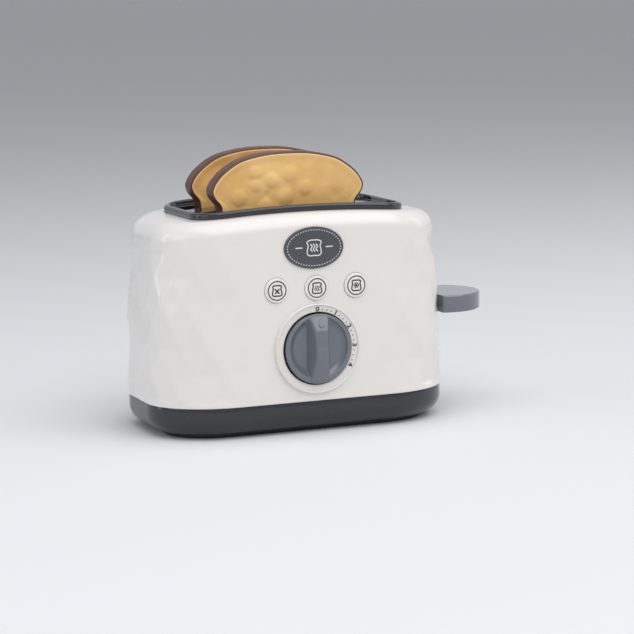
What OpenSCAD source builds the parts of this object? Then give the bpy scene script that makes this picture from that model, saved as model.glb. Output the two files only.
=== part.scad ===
// Toy pop-up toaster with a wind-up timer, a press-down lever and two lift-out slices of bread.
// Millimetres, +Z up. The origin is on the resting plane under the middle of the body,
// +X points to the lever and -Y to the front with the dial.

/* [Body] */
// Width of the casing at its bottom edge, along X
body_w = 154; // [150:1:170]
// Depth of the casing, front to back
body_d = 84; // [84:1:96]
// Height of the casing's top at its middle
casing_top = 107; // [105:1:115]
// Height of the joint between the base and the casing
base_top = 16; // [15:0.5:19]
// Thickness of the casing and base walls
wall = 2.5; // [2:0.1:3]
// Reach along X of each rounded corner in plan
corner_x = 37; // [33:1:40]
// Reach along Y of each rounded corner in plan
corner_y = 30; // [26:1:32]
// How much each end leans in over the casing's height
end_taper = 3.8; // [1:0.1:5]
// Radius of the rounding along the top edge
top_round = 8; // [5:0.5:10]
// Radius of the top's gentle crown along X
crown_r = 600; // [450:10:900]

/* [Moulded facets] */
// Depth of the relief of the facets on the ends
facet_depth = 0.55; // [0:0.05:0.7]
// Lowest row of facet corners
facet_z0 = 20; // [20:0.5:24]
// Highest row of facet corners
facet_z1 = 94; // [88:0.5:96]

/* [Base] */
// Height of the rim that the toaster stands on
foot_h = 2; // [1:0.5:3]
// Width of that rim
foot_w = 2.6; // [2:0.1:4]
// Radius of the rounding round the base's underside
base_round = 9; // [6:0.5:11]
// Step by which the base stands back from the casing
base_step = 0.3; // [0.1:0.1:1]
// Place along X of the screws that close the casing
screw_x = 52; // [51:0.5:54]
// Place along Y of the screws that close the casing
screw_y = 22; // [21:0.5:23]

/* [Slots] */
// Length of each bread slot
slot_l = 104; // [100:0.5:105]
// Width of each bread slot
slot_w = 14; // [13:0.5:15]
// Distance between the middles of the two slots
slot_pitch = 30.6; // [29:0.2:32]
// Radius of the slots' corners
slot_r = 4; // [2:0.5:5]
// Length of the top trim
trim_l = 110; // [110:1:114]
// Width of the top trim, front to back
trim_w = 65; // [62:1:67]
// Radius of the trim's corners
trim_r = 15; // [9:0.5:16]
// Height of the trim's raised bead over the casing
trim_h = 3.3; // [2:0.1:4]
// Wall of the wells under the slots
well_wall = 1.2; // [1:0.1:1.6]
// Clearance between the slot's edge and its well
well_clear = 0.5; // [0.3:0.1:0.8]

/* [Bread] */
// Height of a slice
bread_h = 72; // [66:1:76]
// Half width of a slice at its round lobes
bread_lobe = 39.6; // [38:0.1:41]
// Half width of a slice below the lobes
bread_waist = 35.1; // [33:0.1:36]
// Thickness of a slice
bread_t = 9.5; // [8:0.5:11]
// Place along X of the slices in their slots
bread_x = -4.5; // [-6:0.5:6]
// Width of the crust round the edge
crust_t = 0.8; // [0.6:0.1:2]
// Step from the crumb faces down to the crust
crust_step = 0.5; // [0.2:0.1:1]
// Depth of the dents in the crumb
dent_depth = 0.7; // [0.3:0.1:1]

/* [Lever and carriage] */
// Height of the shelf that the bread stands on, lever up
shelf_z = 63; // [61:0.5:65]
// Travel of the lever
lever_travel = 20; // [14:0.5:22]
// Height of the underside of the lever's paddle
lever_z = 50.2; // [48:0.2:52]
// Thickness of the paddle
paddle_t = 8.6; // [7:0.2:10]
// Radius of the paddle in plan
paddle_r = 20.5; // [17:0.5:23]
// Reach of the paddle beyond the casing's end
paddle_reach = 28.6; // [26:0.2:34]
// Gap between the paddle and the casing's end
paddle_gap = 1.3; // [1:0.1:2]
// Thickness of the lever's tongue
tongue_t = 2.4; // [2:0.1:3]
// Clearance of the tongue in its slit, each side
slit_clear = 0.4; // [0.3:0.1:0.8]
// Diameter of the guide rods
rod_d = 3; // [2:0.5:4]
// Place along X of the guide rods
rod_x = 60; // [59:0.5:61]
// Place along Y of the guide rods, front and back
rod_y = 11; // [10:0.5:12]
// Running clearance of the bushes on the rods
rod_clear = 0.1; // [0.05:0.05:0.3]

/* [Dial and timer] */
// Height of the dial's axis
dial_z = 41.7; // [40:0.1:43]
// Outer radius of the dial's bezel
bezel_r = 21.75; // [21.5:0.25:23]
// Radius of the dial knob
knob_r = 17.5; // [16:0.25:17.75]
// Gap round the knob
knob_gap = 0.5; // [0.3:0.1:0.8]
// Height of the bezel's lip over the front
lip_h = 1.9; // [1.5:0.1:3]
// Height of the knob's rim over the front
knob_rim = 3; // [2.5:0.1:4]
// Height of the knob's grip bar over the front
grip_h = 8.5; // [6:0.5:11]
// Width of the grip bar at its ends
grip_w = 8.4; // [6:0.2:10]
// Depth of the grip bar's waist, each side
grip_waist = 0.9; // [0.3:0.1:1.5]
// Depth of the two scoops beside the bar
scoop = 2.1; // [1:0.1:2.2]
// Radius of the timer's case
timer_r = 20.5; // [20:0.1:20.7]
// Wall of the timer's case
timer_wall = 1.2; // [1:0.1:1.4]
// Diameter of the timer's spindle
spindle_d = 5; // [4:0.5:5]
// Module of the timer's gear teeth
gear_m = 0.75; // [0.7:0.05:0.75]
// Teeth of the main wheel
wheel_teeth = 32; // [28:4:32]
// Teeth of the governor's pinion
pinion_teeth = 8; // [7:1:8]
// Radius of the governor's fly weight
fly_r = 3.8; // [3.7:0.1:4.2]
// Least radius of the release cam
cam_r = 7; // [6:0.5:7.5]
// Rise of the release cam over the dial's turn
cam_rise = 2.3; // [2:0.1:2.4]
// Turn of the dial in degrees
dial_turn = 120; // [90:5:120]

/* [Buttons and badge] */
// Diameter of a button's cap
button_d = 12; // [10:0.5:12.5]
// Height of a cap over the front
button_h = 1; // [1:0.1:3]
// Travel of a button
button_travel = 1.2; // [0.8:0.1:1.2]
// Distance between the buttons
button_pitch = 20.5; // [18:0.5:22]
// Height of the buttons' row
button_z = 71; // [70.5:0.1:72]
// Clearance of a cap in its hole
button_clear = 0.15; // [0.1:0.05:0.3]
// Width of the oval badge
badge_w = 30.5; // [26:0.5:34]
// Height of the oval badge
badge_h = 20.2; // [18:0.2:21]
// Thickness of the badge
badge_t = 1; // [0.6:0.1:1.5]
// Place along X of the badge's middle
badge_x = -1.2; // [-3:0.1:3]
// Height of the badge's middle
badge_z = 90.5; // [89.5:0.1:91]

/* [Hidden] */

CREAM = [0.90, 0.885, 0.87];
CHARCOAL = [0.25, 0.255, 0.275];
GREY = [0.45, 0.47, 0.50];
STEEL = [0.72, 0.73, 0.75];
WHITE = [0.92, 0.92, 0.90];
CRUMB = [0.88, 0.68, 0.38];
CRUST = [0.36, 0.18, 0.11];

half_w = body_w / 2;
half_d = body_d / 2;
front = -half_d;               // plane of the casing's front
inside = front + wall;         // inner face of the front wall
touch = 0.3;                   // clearance between fitted mouldings
fine = 64;                     // facets of small round features
large = 128;                   // facets of large round features

// ---- Outlines and lofts -------------------------------------------------------------------

// A rounded rectangle has 2 steps along each half end, 8 round each corner, 6 along each half side.
END_STEPS = 2;
ARC_STEPS = 8;
SIDE_STEPS = 6;
QUARTER = END_STEPS + ARC_STEPS + SIDE_STEPS;
COLUMNS = 4 * QUARTER;

// Point i of a quarter outline, from the middle of the end to the middle of the side.
function quarter_point(i, hx, hy, rx, ry) =
    i <= END_STEPS ? [hx, (hy - ry) * i / END_STEPS]
    : i <= END_STEPS + ARC_STEPS
        ? let (a = 90 * (i - END_STEPS) / ARC_STEPS) [hx - rx + rx * cos(a), hy - ry + ry * sin(a)]
        : [(hx - rx) * (QUARTER - i) / SIDE_STEPS, hy];

// Steps from the middle of the nearer end to column k.
function quarter_step(k) =
    let (q = floor(k / QUARTER), i = k % QUARTER) q % 2 == 0 ? i : QUARTER - i;

// Column k of a whole outline, counter-clockwise seen from above.
function outline_point(k, hx, hy, rx, ry) =
    let (q = floor(k / QUARTER), p = quarter_point(quarter_step(k), hx, hy, rx, ry))
    [q == 0 || q == 3 ? p[0] : -p[0], q < 2 ? p[1] : -p[1]];

// A whole outline, inset by d.
function outline(hx, hy, rx, ry, d = 0) =
    [for (k = [0 : COLUMNS - 1]) outline_point(k, hx - d, hy - d, max(rx - d, 0.5), max(ry - d, 0.5))];

// How far the crown has dropped at x.
function crown_drop(x) = crown_r - sqrt(crown_r * crown_r - x * x);

// A closed solid through rings of COLUMNS points. Each cap is made of strips along Y, so it
// stays exact where the height changes with x alone. Each end of a cap is one face.
module loft(rings) {
    n = COLUMNS;
    e = END_STEPS + 1;
    last = (len(rings) - 1) * n;
    function turned(f, up) = up ? [for (i = [len(f) - 1 : -1 : 0]) f[i]] : f;
    function cap(o, up) = concat(
        [turned([for (k = [-e : e]) o + (k + n) % n], up)],
        [for (k = [e : n / 2 - e - 1]) turned([o + k, o + k + 1, o + n - k - 1, o + n - k], up)],
        [turned([for (k = [n / 2 - e : n / 2 + e]) o + k], up)]
    );
    function quad(a, b, c, d, odd) = odd ? [[a, d, b], [b, d, c]] : [[a, d, c], [a, c, b]];
    sides = [
        for (j = [0 : len(rings) - 2], k = [0 : n - 1])
            let (m = (k + 1) % n)
            each quad(j * n + k, j * n + m, (j + 1) * n + m, (j + 1) * n + k, (j + k) % 2 == 1)
    ];
    polyhedron([for (r = rings) each r], concat(cap(0, false), sides, cap(last, true)));
}

// A rounded block standing on z = 0, centred in plan.
module round_block(l, w, r, h) {
    translate([-l / 2 + r, -w / 2, 0])
        cube([l - 2 * r, w, h]);
    translate([-l / 2, -w / 2 + r, 0])
        cube([l, w - 2 * r, h]);
    for (x = [-1, 1], y = [-1, 1])
        translate([x * (l / 2 - r), y * (w / 2 - r), 0])
            cylinder(r = r, h = h, $fn = fine);
}

// Puts what is drawn along +Z on the front, pointing out of it: its z = 0 is the front's plane.
module on_front(x, z) {
    translate([x, front, z])
        rotate([90, 0, 0])
            children();
}

// A coil spring of wire d along +Z from z = 0 to z = h, as a swept polyhedron.
module coil(r, d, h, turns) {
    steps = 12;
    sides = 6;
    rings = floor(turns * steps);
    function wire(i, s) =
        let (
            a = 360 * i / steps,
            q = r + d / 2 * cos(360 * s / sides),
            z = d / 2 + (h - d) * i / rings + d / 2 * sin(360 * s / sides)
        )
        [q * cos(a), q * sin(a), z];
    points = [for (i = [0 : rings], s = [0 : sides - 1]) wire(i, s)];
    walls = [
        for (i = [0 : rings - 1], s = [0 : sides - 1])
            let (t = (s + 1) % sides)
            each [
                [i * sides + s, i * sides + t, (i + 1) * sides + t],
                [i * sides + s, (i + 1) * sides + t, (i + 1) * sides + s]
            ]
    ];
    first = [for (s = [sides - 1 : -1 : 0]) s];
    end = [for (s = [0 : sides - 1]) rings * sides + s];
    polyhedron(points, concat([first], walls, [end]));
}

// A screw: the underside of its head is at z = 0 and its shank points up.
module screw(head_d, head_h, shank_d, shank_l) {
    difference() {
        translate([0, 0, -head_h])
            cylinder(d = head_d, h = head_h, $fn = fine);
        for (a = [0, 90])
            rotate([0, 0, a])
                translate([-head_d * 0.3, -head_d * 0.06, -head_h - 1])
                    cube([head_d * 0.6, head_d * 0.12, head_h * 0.5 + 1]);
    }
    translate([0, 0, -head_h * 0.4])
        cylinder(d = shank_d, h = shank_l + head_h * 0.4, $fn = fine);
}

// ---- Casing -------------------------------------------------------------------------------

round_z = casing_top - top_round;
facet_rows = 7;
facet_pitch = (facet_z1 - facet_z0) / (facet_rows - 1);

// How far the end has leaned in at height z.
function lean(z) =
    let (t = max(0, min(1, (z - base_top) / (round_z - base_top)))) end_taper * pow(t, 2.1);

// Share of the crown that a ring at height z takes.
function crown_share(z) = max(0, min(1, (z - base_top) / (round_z - base_top)));

// One point of the casing's skin at column k and height z, moved out by e.
function skin_point(k, z, e) =
    let (p = outline_point(k, half_w - lean(z) + e, half_d + e, corner_x + e, corner_y + e))
    [p[0], p[1], z - crown_drop(p[0]) * crown_share(z)];

function skin_ring(z, e) = [for (k = [0 : COLUMNS - 1]) skin_point(k, z, e)];

// Relief of the facet corner at column k in row j: scattered by a golden angle, none on the front.
function relief(k, j) =
    quarter_step(k) >= END_STEPS + ARC_STEPS ? 0 : facet_depth * sin(137.5 * (k + 11 * j));

function facet_corner(k, j) = skin_point(k, facet_z0 + j * facet_pitch, relief(k, j));

// A row of facet corners on every other column, with the middles of their straight edges between.
function facet_ring(j) = [
    for (k = [0 : COLUMNS - 1])
        (k + j) % 2 == 0
            ? facet_corner(k, j)
            : (facet_corner((k + COLUMNS - 1) % COLUMNS, j) + facet_corner((k + 1) % COLUMNS, j)) / 2
];

// The rounding of the top edge, radius r, over a skin moved out by e.
function round_rings(z, e, r, steps) = [
    for (s = [0 : steps])
        let (a = 90 * s / steps)
        [for (k = [0 : COLUMNS - 1])
            let (p = skin_point(k, z, e - r * (1 - cos(a)))) [p[0], p[1], p[2] + r * sin(a)]]
];

module casing_skin() {
    rows = [for (j = [0 : facet_rows - 1]) facet_ring(j)];
    loft(concat([skin_ring(base_top, 0), skin_ring(base_top + 1.5, 0)], rows,
        round_rings(round_z, 0, top_round, 5)));
}

module casing_cavity() {
    mid = base_top + (round_z - base_top) * 0.55;
    loft(concat([skin_ring(base_top - 1, -wall), skin_ring(mid, -wall)],
        round_rings(round_z, -wall, top_round - wall, 3)));
}

plug_wall = 1.6;
plug_rim = 4.2;
plug_l = slot_l + 2 * plug_wall;   // the trim's plug that sits in the casing's top opening
plug_w = slot_pitch + slot_w + 2 * plug_rim;
plug_r = slot_r + 3;
post_r = 3.5;
post_top = base_top + 18;      // top of the screw posts, below the wells
rib_t = 2;
rib_z = base_top + 5;          // underside of the ribs that tie the posts to the end walls
slit_w = tongue_t + 2 * slit_clear;
tongue_h = 5.6;
tongue_z = lever_z + (paddle_t - tongue_h) / 2;
boss_r = 3;
flange_t = 1;                  // flange that keeps a button in its hole
flange_gap = 0.3;
button_boss = flange_gap + flange_t + button_travel + 3.5;   // bosses under the button frame
timer_boss = 3;                // height of the bosses under the timer's ears
button_boss_x = 1.5 * button_pitch;
ear_x = timer_r + 4;
ear_t = 1.5;
bezel_cup_r = knob_r + knob_gap;
bezel_hole_r = bezel_cup_r + 1.2;

// The middle of the end wall's thickness beside the screws.
rib_end = half_w - corner_x + corner_x * sqrt(1 - pow((screw_y - half_d + corner_y) / corner_y, 2))
    - 0.6 * wall;

module casing() {
    color(CREAM)
        difference() {
            union() {
                difference() {
                    casing_skin();
                    casing_cavity();
                }
                for (x = [-1, 1], y = [-1, 1]) {
                    translate([x * screw_x, y * screw_y, base_top])
                        cylinder(r = post_r, h = post_top - base_top, $fn = fine);
                    translate([min(x * screw_x, x * rib_end), y * screw_y - rib_t / 2, rib_z])
                        cube([rib_end - screw_x, rib_t, post_top - rib_z]);
                }
                for (x = [-1, 1]) {
                    on_front(x * button_boss_x, button_z)
                        translate([0, 0, -wall - button_boss])
                            cylinder(r = boss_r, h = button_boss + 1, $fn = fine);
                    on_front(x * ear_x, dial_z)
                        translate([0, 0, -wall - timer_boss])
                            cylinder(r = boss_r, h = timer_boss + 1, $fn = fine);
                }
            }
            translate([0, 0, base_top + 20])
                round_block(plug_l + 2 * touch, plug_w + 2 * touch, plug_r, casing_top);
            on_front(0, dial_z)
                translate([0, 0, -wall - 1])
                    cylinder(r = bezel_hole_r + touch, h = wall + 2, $fn = large);
            for (i = [-1 : 1])
                on_front(i * button_pitch, button_z)
                    translate([0, 0, -wall - 1])
                        cylinder(r = button_d / 2 + button_clear, h = wall + 2, $fn = fine);
            for (x = [-1, 1], y = [-1, 1])
                translate([x * screw_x, y * screw_y, base_top - 1])
                    cylinder(d = 2.5, h = 13, $fn = fine);
            for (x = [-1, 1]) {
                on_front(x * button_boss_x, button_z)
                    translate([0, 0, -wall - button_boss - 1])
                        cylinder(d = 1.7, h = button_boss + 1, $fn = fine);
                on_front(x * ear_x, dial_z)
                    translate([0, 0, -wall - timer_boss - 1])
                        cylinder(d = 1.7, h = timer_boss + 1, $fn = fine);
            }
            slit_z = tongue_z - lever_travel - slit_clear;
            translate([half_w - end_taper - wall - 3, -slit_w / 2, slit_z])
                cube([end_taper + wall + 6, slit_w, lever_travel + tongue_h + 2 * slit_clear]);
        }
}

// ---- Base ---------------------------------------------------------------------------------

floor_z = foot_h + wall;       // top of the base's floor
seat_z = foot_h + 7;           // where the heads of the base screws seat
head_d = 5.6;

function base_ring(z, d) = [
    for (k = [0 : COLUMNS - 1])
        let (p = outline_point(k, half_w - d, half_d - d, corner_x - d, corner_y - d)) [p[0], p[1], z]
];

// A flat ring between two insets of the body's outline.
module wall_ring(outer, inner) {
    difference() {
        polygon(outline(half_w, half_d, corner_x, corner_y, outer));
        polygon(outline(half_w, half_d, corner_x, corner_y, inner));
    }
}

module base() {
    foot_in = base_step + base_round + 0.4;
    lip_in = wall + touch + 1.4;   // inner face of the lip that stands up inside the casing
    lip_root = 3;
    function rounding(a) = base_ring(foot_h + base_round * (1 - cos(a)),
        base_step + base_round * (1 - sin(a)));
    color(CHARCOAL)
        difference() {
            union() {
                difference() {
                    loft(concat([for (s = [0 : 4]) rounding(22.5 * s)],
                        [base_ring(base_top, base_step)]));
                    loft([base_ring(floor_z, base_round + wall / 2), base_ring(floor_z + 4.5, wall + 2),
                        base_ring(floor_z + 8, wall), base_ring(base_top + 1, wall)]);
                }
                linear_extrude(foot_h + 0.5)
                    wall_ring(foot_in, foot_in + foot_w);
                translate([0, 0, base_top - lip_root])
                    linear_extrude(lip_root)
                        wall_ring(wall - 0.5, lip_in);
                translate([0, 0, base_top - lip_root])
                    linear_extrude(lip_root + 3.5)
                        wall_ring(wall + touch, lip_in);
                for (x = [-1, 1], y = [-1, 1])
                    translate([x * screw_x, y * screw_y, foot_h])
                        cylinder(r = 4.6, h = base_top - foot_h, $fn = fine);
            }
            for (x = [-1, 1], y = [-1, 1])
                translate([x * screw_x, y * screw_y, 0]) {
                    translate([0, 0, foot_h - 1])
                        cylinder(d = head_d + 0.8, h = seat_z - foot_h + 1, $fn = fine);
                    cylinder(d = 3.2, h = base_top + 1, $fn = fine);
                }
            for (x = bracket_screw_x)
                translate([x, 0, foot_h - 1])
                    cylinder(d = 1.7, h = wall + 2, $fn = fine);
        }
}

module base_screws() {
    color(STEEL)
        for (x = [-1, 1], y = [-1, 1])
            translate([x * screw_x, y * screw_y, seat_z])
                screw(head_d, 2.2, 2.4, base_top - seat_z + 10);
}

// ---- Top trim and wells -------------------------------------------------------------------

well_top = casing_top - 4.5;
well_l = slot_l + 2 * well_clear;
well_w = slot_w + 2 * well_clear;
shelf_t = 2;
well_z = shelf_z - lever_travel - shelf_t - 3;

// A rounded rectangle that follows the crowned top, at a rise over it.
function crowned_ring(l, w, r, up) = [
    for (k = [0 : COLUMNS - 1])
        let (p = outline_point(k, l / 2, w / 2, r, r)) [p[0], p[1], casing_top + up - crown_drop(p[0])]
];

function trim_ring(d, up) = crowned_ring(trim_l - 2 * d, trim_w - 2 * d, trim_r - d, up);

module top_trim() {
    bead = trim_h / 2 - 0.1;
    color(CHARCOAL)
        difference() {
            union() {
                loft(concat([trim_ring(0, 0.1), trim_ring(0, trim_h - bead)],
                    [for (a = [30 : 30 : 150]) trim_ring(bead * (1 - cos(a)),
                        trim_h - bead + bead * sin(a))],
                    [trim_ring(2 * bead + 0.2, trim_h - bead - 0.6),
                        trim_ring(2 * bead + 0.9, trim_h - bead - 0.6)]));
                loft([[for (p = crowned_ring(plug_l, plug_w, plug_r, 0)) [p[0], p[1], well_top]],
                    crowned_ring(plug_l, plug_w, plug_r, 0.5)]);
            }
            for (y = [-1, 1])
                translate([0, y * slot_pitch / 2, well_top - 1])
                    round_block(slot_l, slot_w, slot_r, casing_top);
        }
}

tab_z = 88;                    // the wells' tab that steadies the tops of the guide rods
tab_t = 2.5;

module slot_liner() {
    plate_t = 1.8;
    arm_slit = 5.2;
    color(WHITE)
        difference() {
            union() {
                for (y = [-1, 1])
                    translate([0, y * slot_pitch / 2, well_z])
                        round_block(well_l + 2 * well_wall, well_w + 2 * well_wall,
                            slot_r + well_wall, well_top - well_z);
                translate([0, 0, well_top - plate_t])
                    round_block(well_l + 2 * well_wall, slot_pitch + well_w + 2 * well_wall,
                        slot_r, plate_t);
                translate([well_l / 2 + well_wall / 2, -rod_y - 4, tab_z])
                    cube([rod_x + 4 - well_l / 2 - well_wall / 2, 2 * rod_y + 8, tab_t]);
            }
            for (y = [-1, 1])
                translate([0, y * slot_pitch / 2, well_z - 1]) {
                    round_block(well_l, well_w, slot_r, well_top - well_z + 2);
                    translate([well_l / 2 - 2, -arm_slit / 2, 0])
                        cube([well_wall + 4, arm_slit, shelf_z + 2 - well_z]);
                }
            for (y = [-1, 1])
                translate([rod_x, y * rod_y, tab_z - 1])
                    cylinder(d = rod_d + 2 * rod_clear, h = tab_t + 2, $fn = fine);
        }
}

// ---- Bread --------------------------------------------------------------------------------

// One piece of a Catmull-Rom curve from b to c.
function curve(a, b, c, d, t) =
    (2 * b + (c - a) * t + (2 * a - 5 * b + 4 * c - d) * t * t + (3 * b - a - 3 * c + d) * t * t * t) / 2;

// The dome and right lobe of a slice: x from the middle, z from the top.
LOBE = [
    [0, 0], [12, -0.6], [24, -3.2], [31.4, -7.2], [bread_lobe - 2.8, -12], [bread_lobe, -17.1],
    [bread_lobe - 1, -21.2], [bread_waist + 0.5, -25], [bread_waist, -29]
];
lobe_n = len(LOBE);
lobe_all = concat([[-LOBE[1][0], LOBE[1][1]]], LOBE, [[bread_waist, -35]]);
foot_r = 5;

half_slice = concat(
    [for (i = [0 : lobe_n - 2], s = [0 : 3])
        curve(lobe_all[i], lobe_all[i + 1], lobe_all[i + 2], lobe_all[i + 3], s / 4)],
    [LOBE[lobe_n - 1]],
    [for (a = [0 : -15 : -90])
        [bread_waist - foot_r + foot_r * cos(a), -bread_h + foot_r + foot_r * sin(a)]]
);
slice = concat(half_slice,
    [for (i = [len(half_slice) - 1 : -1 : 1]) [-half_slice[i][0], half_slice[i][1]]]);

// A closed clockwise outline moved inwards by d.
function inset(points, d) =
    let (n = len(points))
    [for (i = [0 : n - 1])
        let (
            t = points[(i + 1) % n] - points[(i + n - 1) % n],
            l = norm(t)
        )
        points[i] + d * [t[1], -t[0]] / l];

crumb = inset(slice, crust_t);

// Puts an outline upright in the slot at y, t thick.
module upright(y, t) {
    translate([bread_x, y + t / 2, shelf_z + bread_h])
        rotate([90, 0, 0])
            linear_extrude(t)
                children();
}

module crust_of(y) {
    color(CRUST)
        upright(y, bread_t - 2 * crust_step)
            difference() {
                polygon(slice);
                polygon(crumb);
            }
}

// Dents in each crumb face: x from the slice's middle, height over the shelf and radius.
DENTS = [[-17, 61.5, 3.2], [-17, 55, 3], [-12.5, 50.5, 3.4], [-8.5, 63, 3], [7, 53.5, 3.6],
    [16, 65, 3], [22.5, 54.5, 4], [30, 57, 3.4], [-27, 46, 3.4], [0, 40, 4.2], [-14, 34, 3.6],
    [22, 34, 3.4], [-24, 22, 4], [-2, 16, 3.8], [18, 14, 4.4]];

module crumb_of(y) {
    color(CRUMB)
        difference() {
            upright(y, bread_t)
                polygon(crumb);
            for (d = DENTS, s = [-1, 1]) {
                ball = (d[2] * d[2] + dent_depth * dent_depth) / (2 * dent_depth);
                translate([bread_x - s * d[0], y + s * (bread_t / 2 + ball - dent_depth), shelf_z + d[1]])
                    sphere(r = ball, $fn = large);
            }
        }
}

module bread_front_crust() crust_of(-slot_pitch / 2);
module bread_front_crumb() crumb_of(-slot_pitch / 2);
module bread_rear_crust() crust_of(slot_pitch / 2);
module bread_rear_crumb() crumb_of(slot_pitch / 2);

// ---- Lever, carriage and guide rods -------------------------------------------------------

hub_x0 = rod_x - 5;
hub_x1 = rod_x + 6;
bush_wall = 1;
bush_flange = 1;
bush_r = rod_d / 2 + bush_wall;
bracket_h = 6;
bracket_top = floor_z + bracket_h;
spring_r = rod_d / 2 + bush_wall;
spring_wire = 0.8;
paddle_x0 = half_w + paddle_gap;
paddle_cx = half_w + paddle_reach - paddle_r;
lever_screw_x = paddle_x0 + 6; // screw that holds the paddle on the tongue
lug_x0 = rod_x - 2.5;
lug_t = 3;
latch_y = front + 13.8;        // front face of the latch and the release cam
latch_t = 1.6;

module carriage() {
    arm_w = 4;
    shelf_l = well_l - 4;
    shelf_w = well_w - 4;
    color(WHITE)
        difference() {
            union() {
                for (y = [-1, 1]) {
                    translate([0, y * slot_pitch / 2, shelf_z - shelf_t])
                        round_block(shelf_l, shelf_w, 2, shelf_t);
                    translate([shelf_l / 2 - 6, y * slot_pitch / 2 - arm_w / 2, lever_z + 4])
                        cube([hub_x0 + 1 - shelf_l / 2 + 6, arm_w, shelf_z - shelf_t - lever_z - 3.5]);
                }
                translate([hub_x0, -slot_pitch / 2 - arm_w / 2, lever_z])
                    cube([hub_x1 - hub_x0, slot_pitch + arm_w, paddle_t]);
                translate([hub_x1 - 1, -tongue_t / 2, tongue_z])
                    cube([paddle_x0 + 10 - hub_x1 + 1, tongue_t, tongue_h]);
                translate([lug_x0, latch_y - 0.8, lever_z + paddle_t - lug_t])
                    cube([3.5, -slot_pitch / 2 - latch_y + 0.8, lug_t]);
            }
            for (y = [-1, 1])
                translate([rod_x, y * rod_y, lever_z - 1])
                    cylinder(r = bush_r + 0.02, h = paddle_t + 2, $fn = fine);
            translate([lever_screw_x, 0, tongue_z - 1])
                cylinder(d = 1.6, h = tongue_h + 2, $fn = fine);
        }
}

module rod_bushes() {
    color(GREY)
        for (y = [-1, 1])
            translate([rod_x, y * rod_y, lever_z])
                difference() {
                    union() {
                        cylinder(r = bush_r, h = paddle_t, $fn = fine);
                        translate([0, 0, paddle_t])
                            cylinder(r = bush_r + bush_flange, h = bush_flange, $fn = fine);
                    }
                    translate([0, 0, -1])
                        cylinder(d = rod_d + 2 * rod_clear, h = paddle_t + 3, $fn = fine);
                }
}

module guide_rods() {
    color(STEEL)
        for (y = [-1, 1])
            translate([rod_x, y * rod_y, floor_z + 1.5])
                cylinder(d = rod_d, h = tab_z + tab_t + 0.5 - floor_z - 1.5, $fn = fine);
}

bracket_screw_x = [rod_x - 18, rod_x - 8];
pivot = [34, 20];              // x and z of the latch's pivot
pin_r = 1.5;

module lift_bracket() {
    x0 = pivot[0] - 5;
    x1 = rod_x + 5;
    color(WHITE)
        difference() {
            union() {
                translate([x0, -rod_y - 4.5, floor_z])
                    cube([x1 - x0, 2 * rod_y + 9, 2]);
                translate([x0, latch_y + latch_t + touch, floor_z])
                    cube([14, -rod_y - 4 - latch_y - latch_t - touch, 2]);
                for (y = [-1, 1])
                    translate([rod_x, y * rod_y, floor_z])
                        cylinder(r = 4.4, h = bracket_h, $fn = fine);
                translate([pivot[0] - 4, latch_y + latch_t + touch, floor_z])
                    cube([8, 4, pivot[1] + 4 - floor_z]);
            }
            for (y = [-1, 1])
                translate([rod_x, y * rod_y, floor_z + 1.5])
                    cylinder(d = rod_d + 0.04, h = bracket_h, $fn = fine);
            translate([pivot[0], latch_y - 5, pivot[1]])
                rotate([-90, 0, 0])
                    cylinder(r = pin_r + 0.02, h = 20, $fn = fine);
            for (x = bracket_screw_x)
                translate([x, 0, floor_z - 1])
                    cylinder(d = 2.2, h = 4, $fn = fine);
        }
}

module lift_spring(y) {
    color(STEEL)
        translate([rod_x, y, bracket_top + 0.1])
            coil(spring_r, spring_wire, lever_z - bracket_top - 0.2, 9);
}

module lift_spring_front() lift_spring(-rod_y);
module lift_spring_rear() lift_spring(rod_y);

socket_l = 11;                 // length of the socket inside the paddle

module lever_knob() {
    edge = 0.9;
    color(GREY)
        difference() {
            translate([paddle_cx, 0, lever_z])
                rotate_extrude($fn = large)
                    polygon(concat([[0, 0], [paddle_r - 0.4, 0], [paddle_r, 0.4]],
                        [for (a = [0 : 15 : 90]) [paddle_r - edge + edge * cos(a),
                            paddle_t - edge + edge * sin(a)]],
                        [[0, paddle_t]]));
            translate([paddle_x0 - 2 * paddle_r, -paddle_r - 1, lever_z - 1])
                cube([2 * paddle_r, 2 * paddle_r + 2, paddle_t + 2]);
            translate([paddle_x0 - 1, -tongue_t / 2 - 0.05, tongue_z - 0.05])
                cube([socket_l, tongue_t + 0.1, tongue_h + 0.1]);
            translate([lever_screw_x, 0, lever_z - 1]) {
                cylinder(d = 3.6, h = 1.7, $fn = fine);
                cylinder(d = 1.6, h = paddle_t - 0.5, $fn = fine);
            }
        }
}

module lever_screw() {
    color(STEEL)
        translate([lever_screw_x, 0, lever_z + 0.7])
            screw(3.2, 0.6, 1.5, paddle_t - 2.4);
}

// ---- Dial and timer -----------------------------------------------------------------------

cup_floor = -1.3;              // floor of the bezel's cup, out of the front's plane
case_y0 = inside + 0.2;        // front face of the timer's case
case_y1 = latch_y - 1.8;       // rear face of the timer's case
cover_t = 1.4;
run = 0.05;                    // running clearance of shafts
wheel_r = gear_m * wheel_teeth / 2;
pinion_r = gear_m * pinion_teeth / 2;
mesh_gap = 0.1;                // play between the wheel's and the pinion's pitch circles
governor_x = -(wheel_r + pinion_r + mesh_gap);
arbor_r = 0.8;
pocket_r = fly_r + 0.35;       // inside of the case's pocket for the governor

// Puts what is drawn along +Z at the dial's axis, pointing back from y.
module behind(x, z, y) {
    translate([x, y, z])
        rotate([-90, 0, 0])
            children();
}

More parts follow.
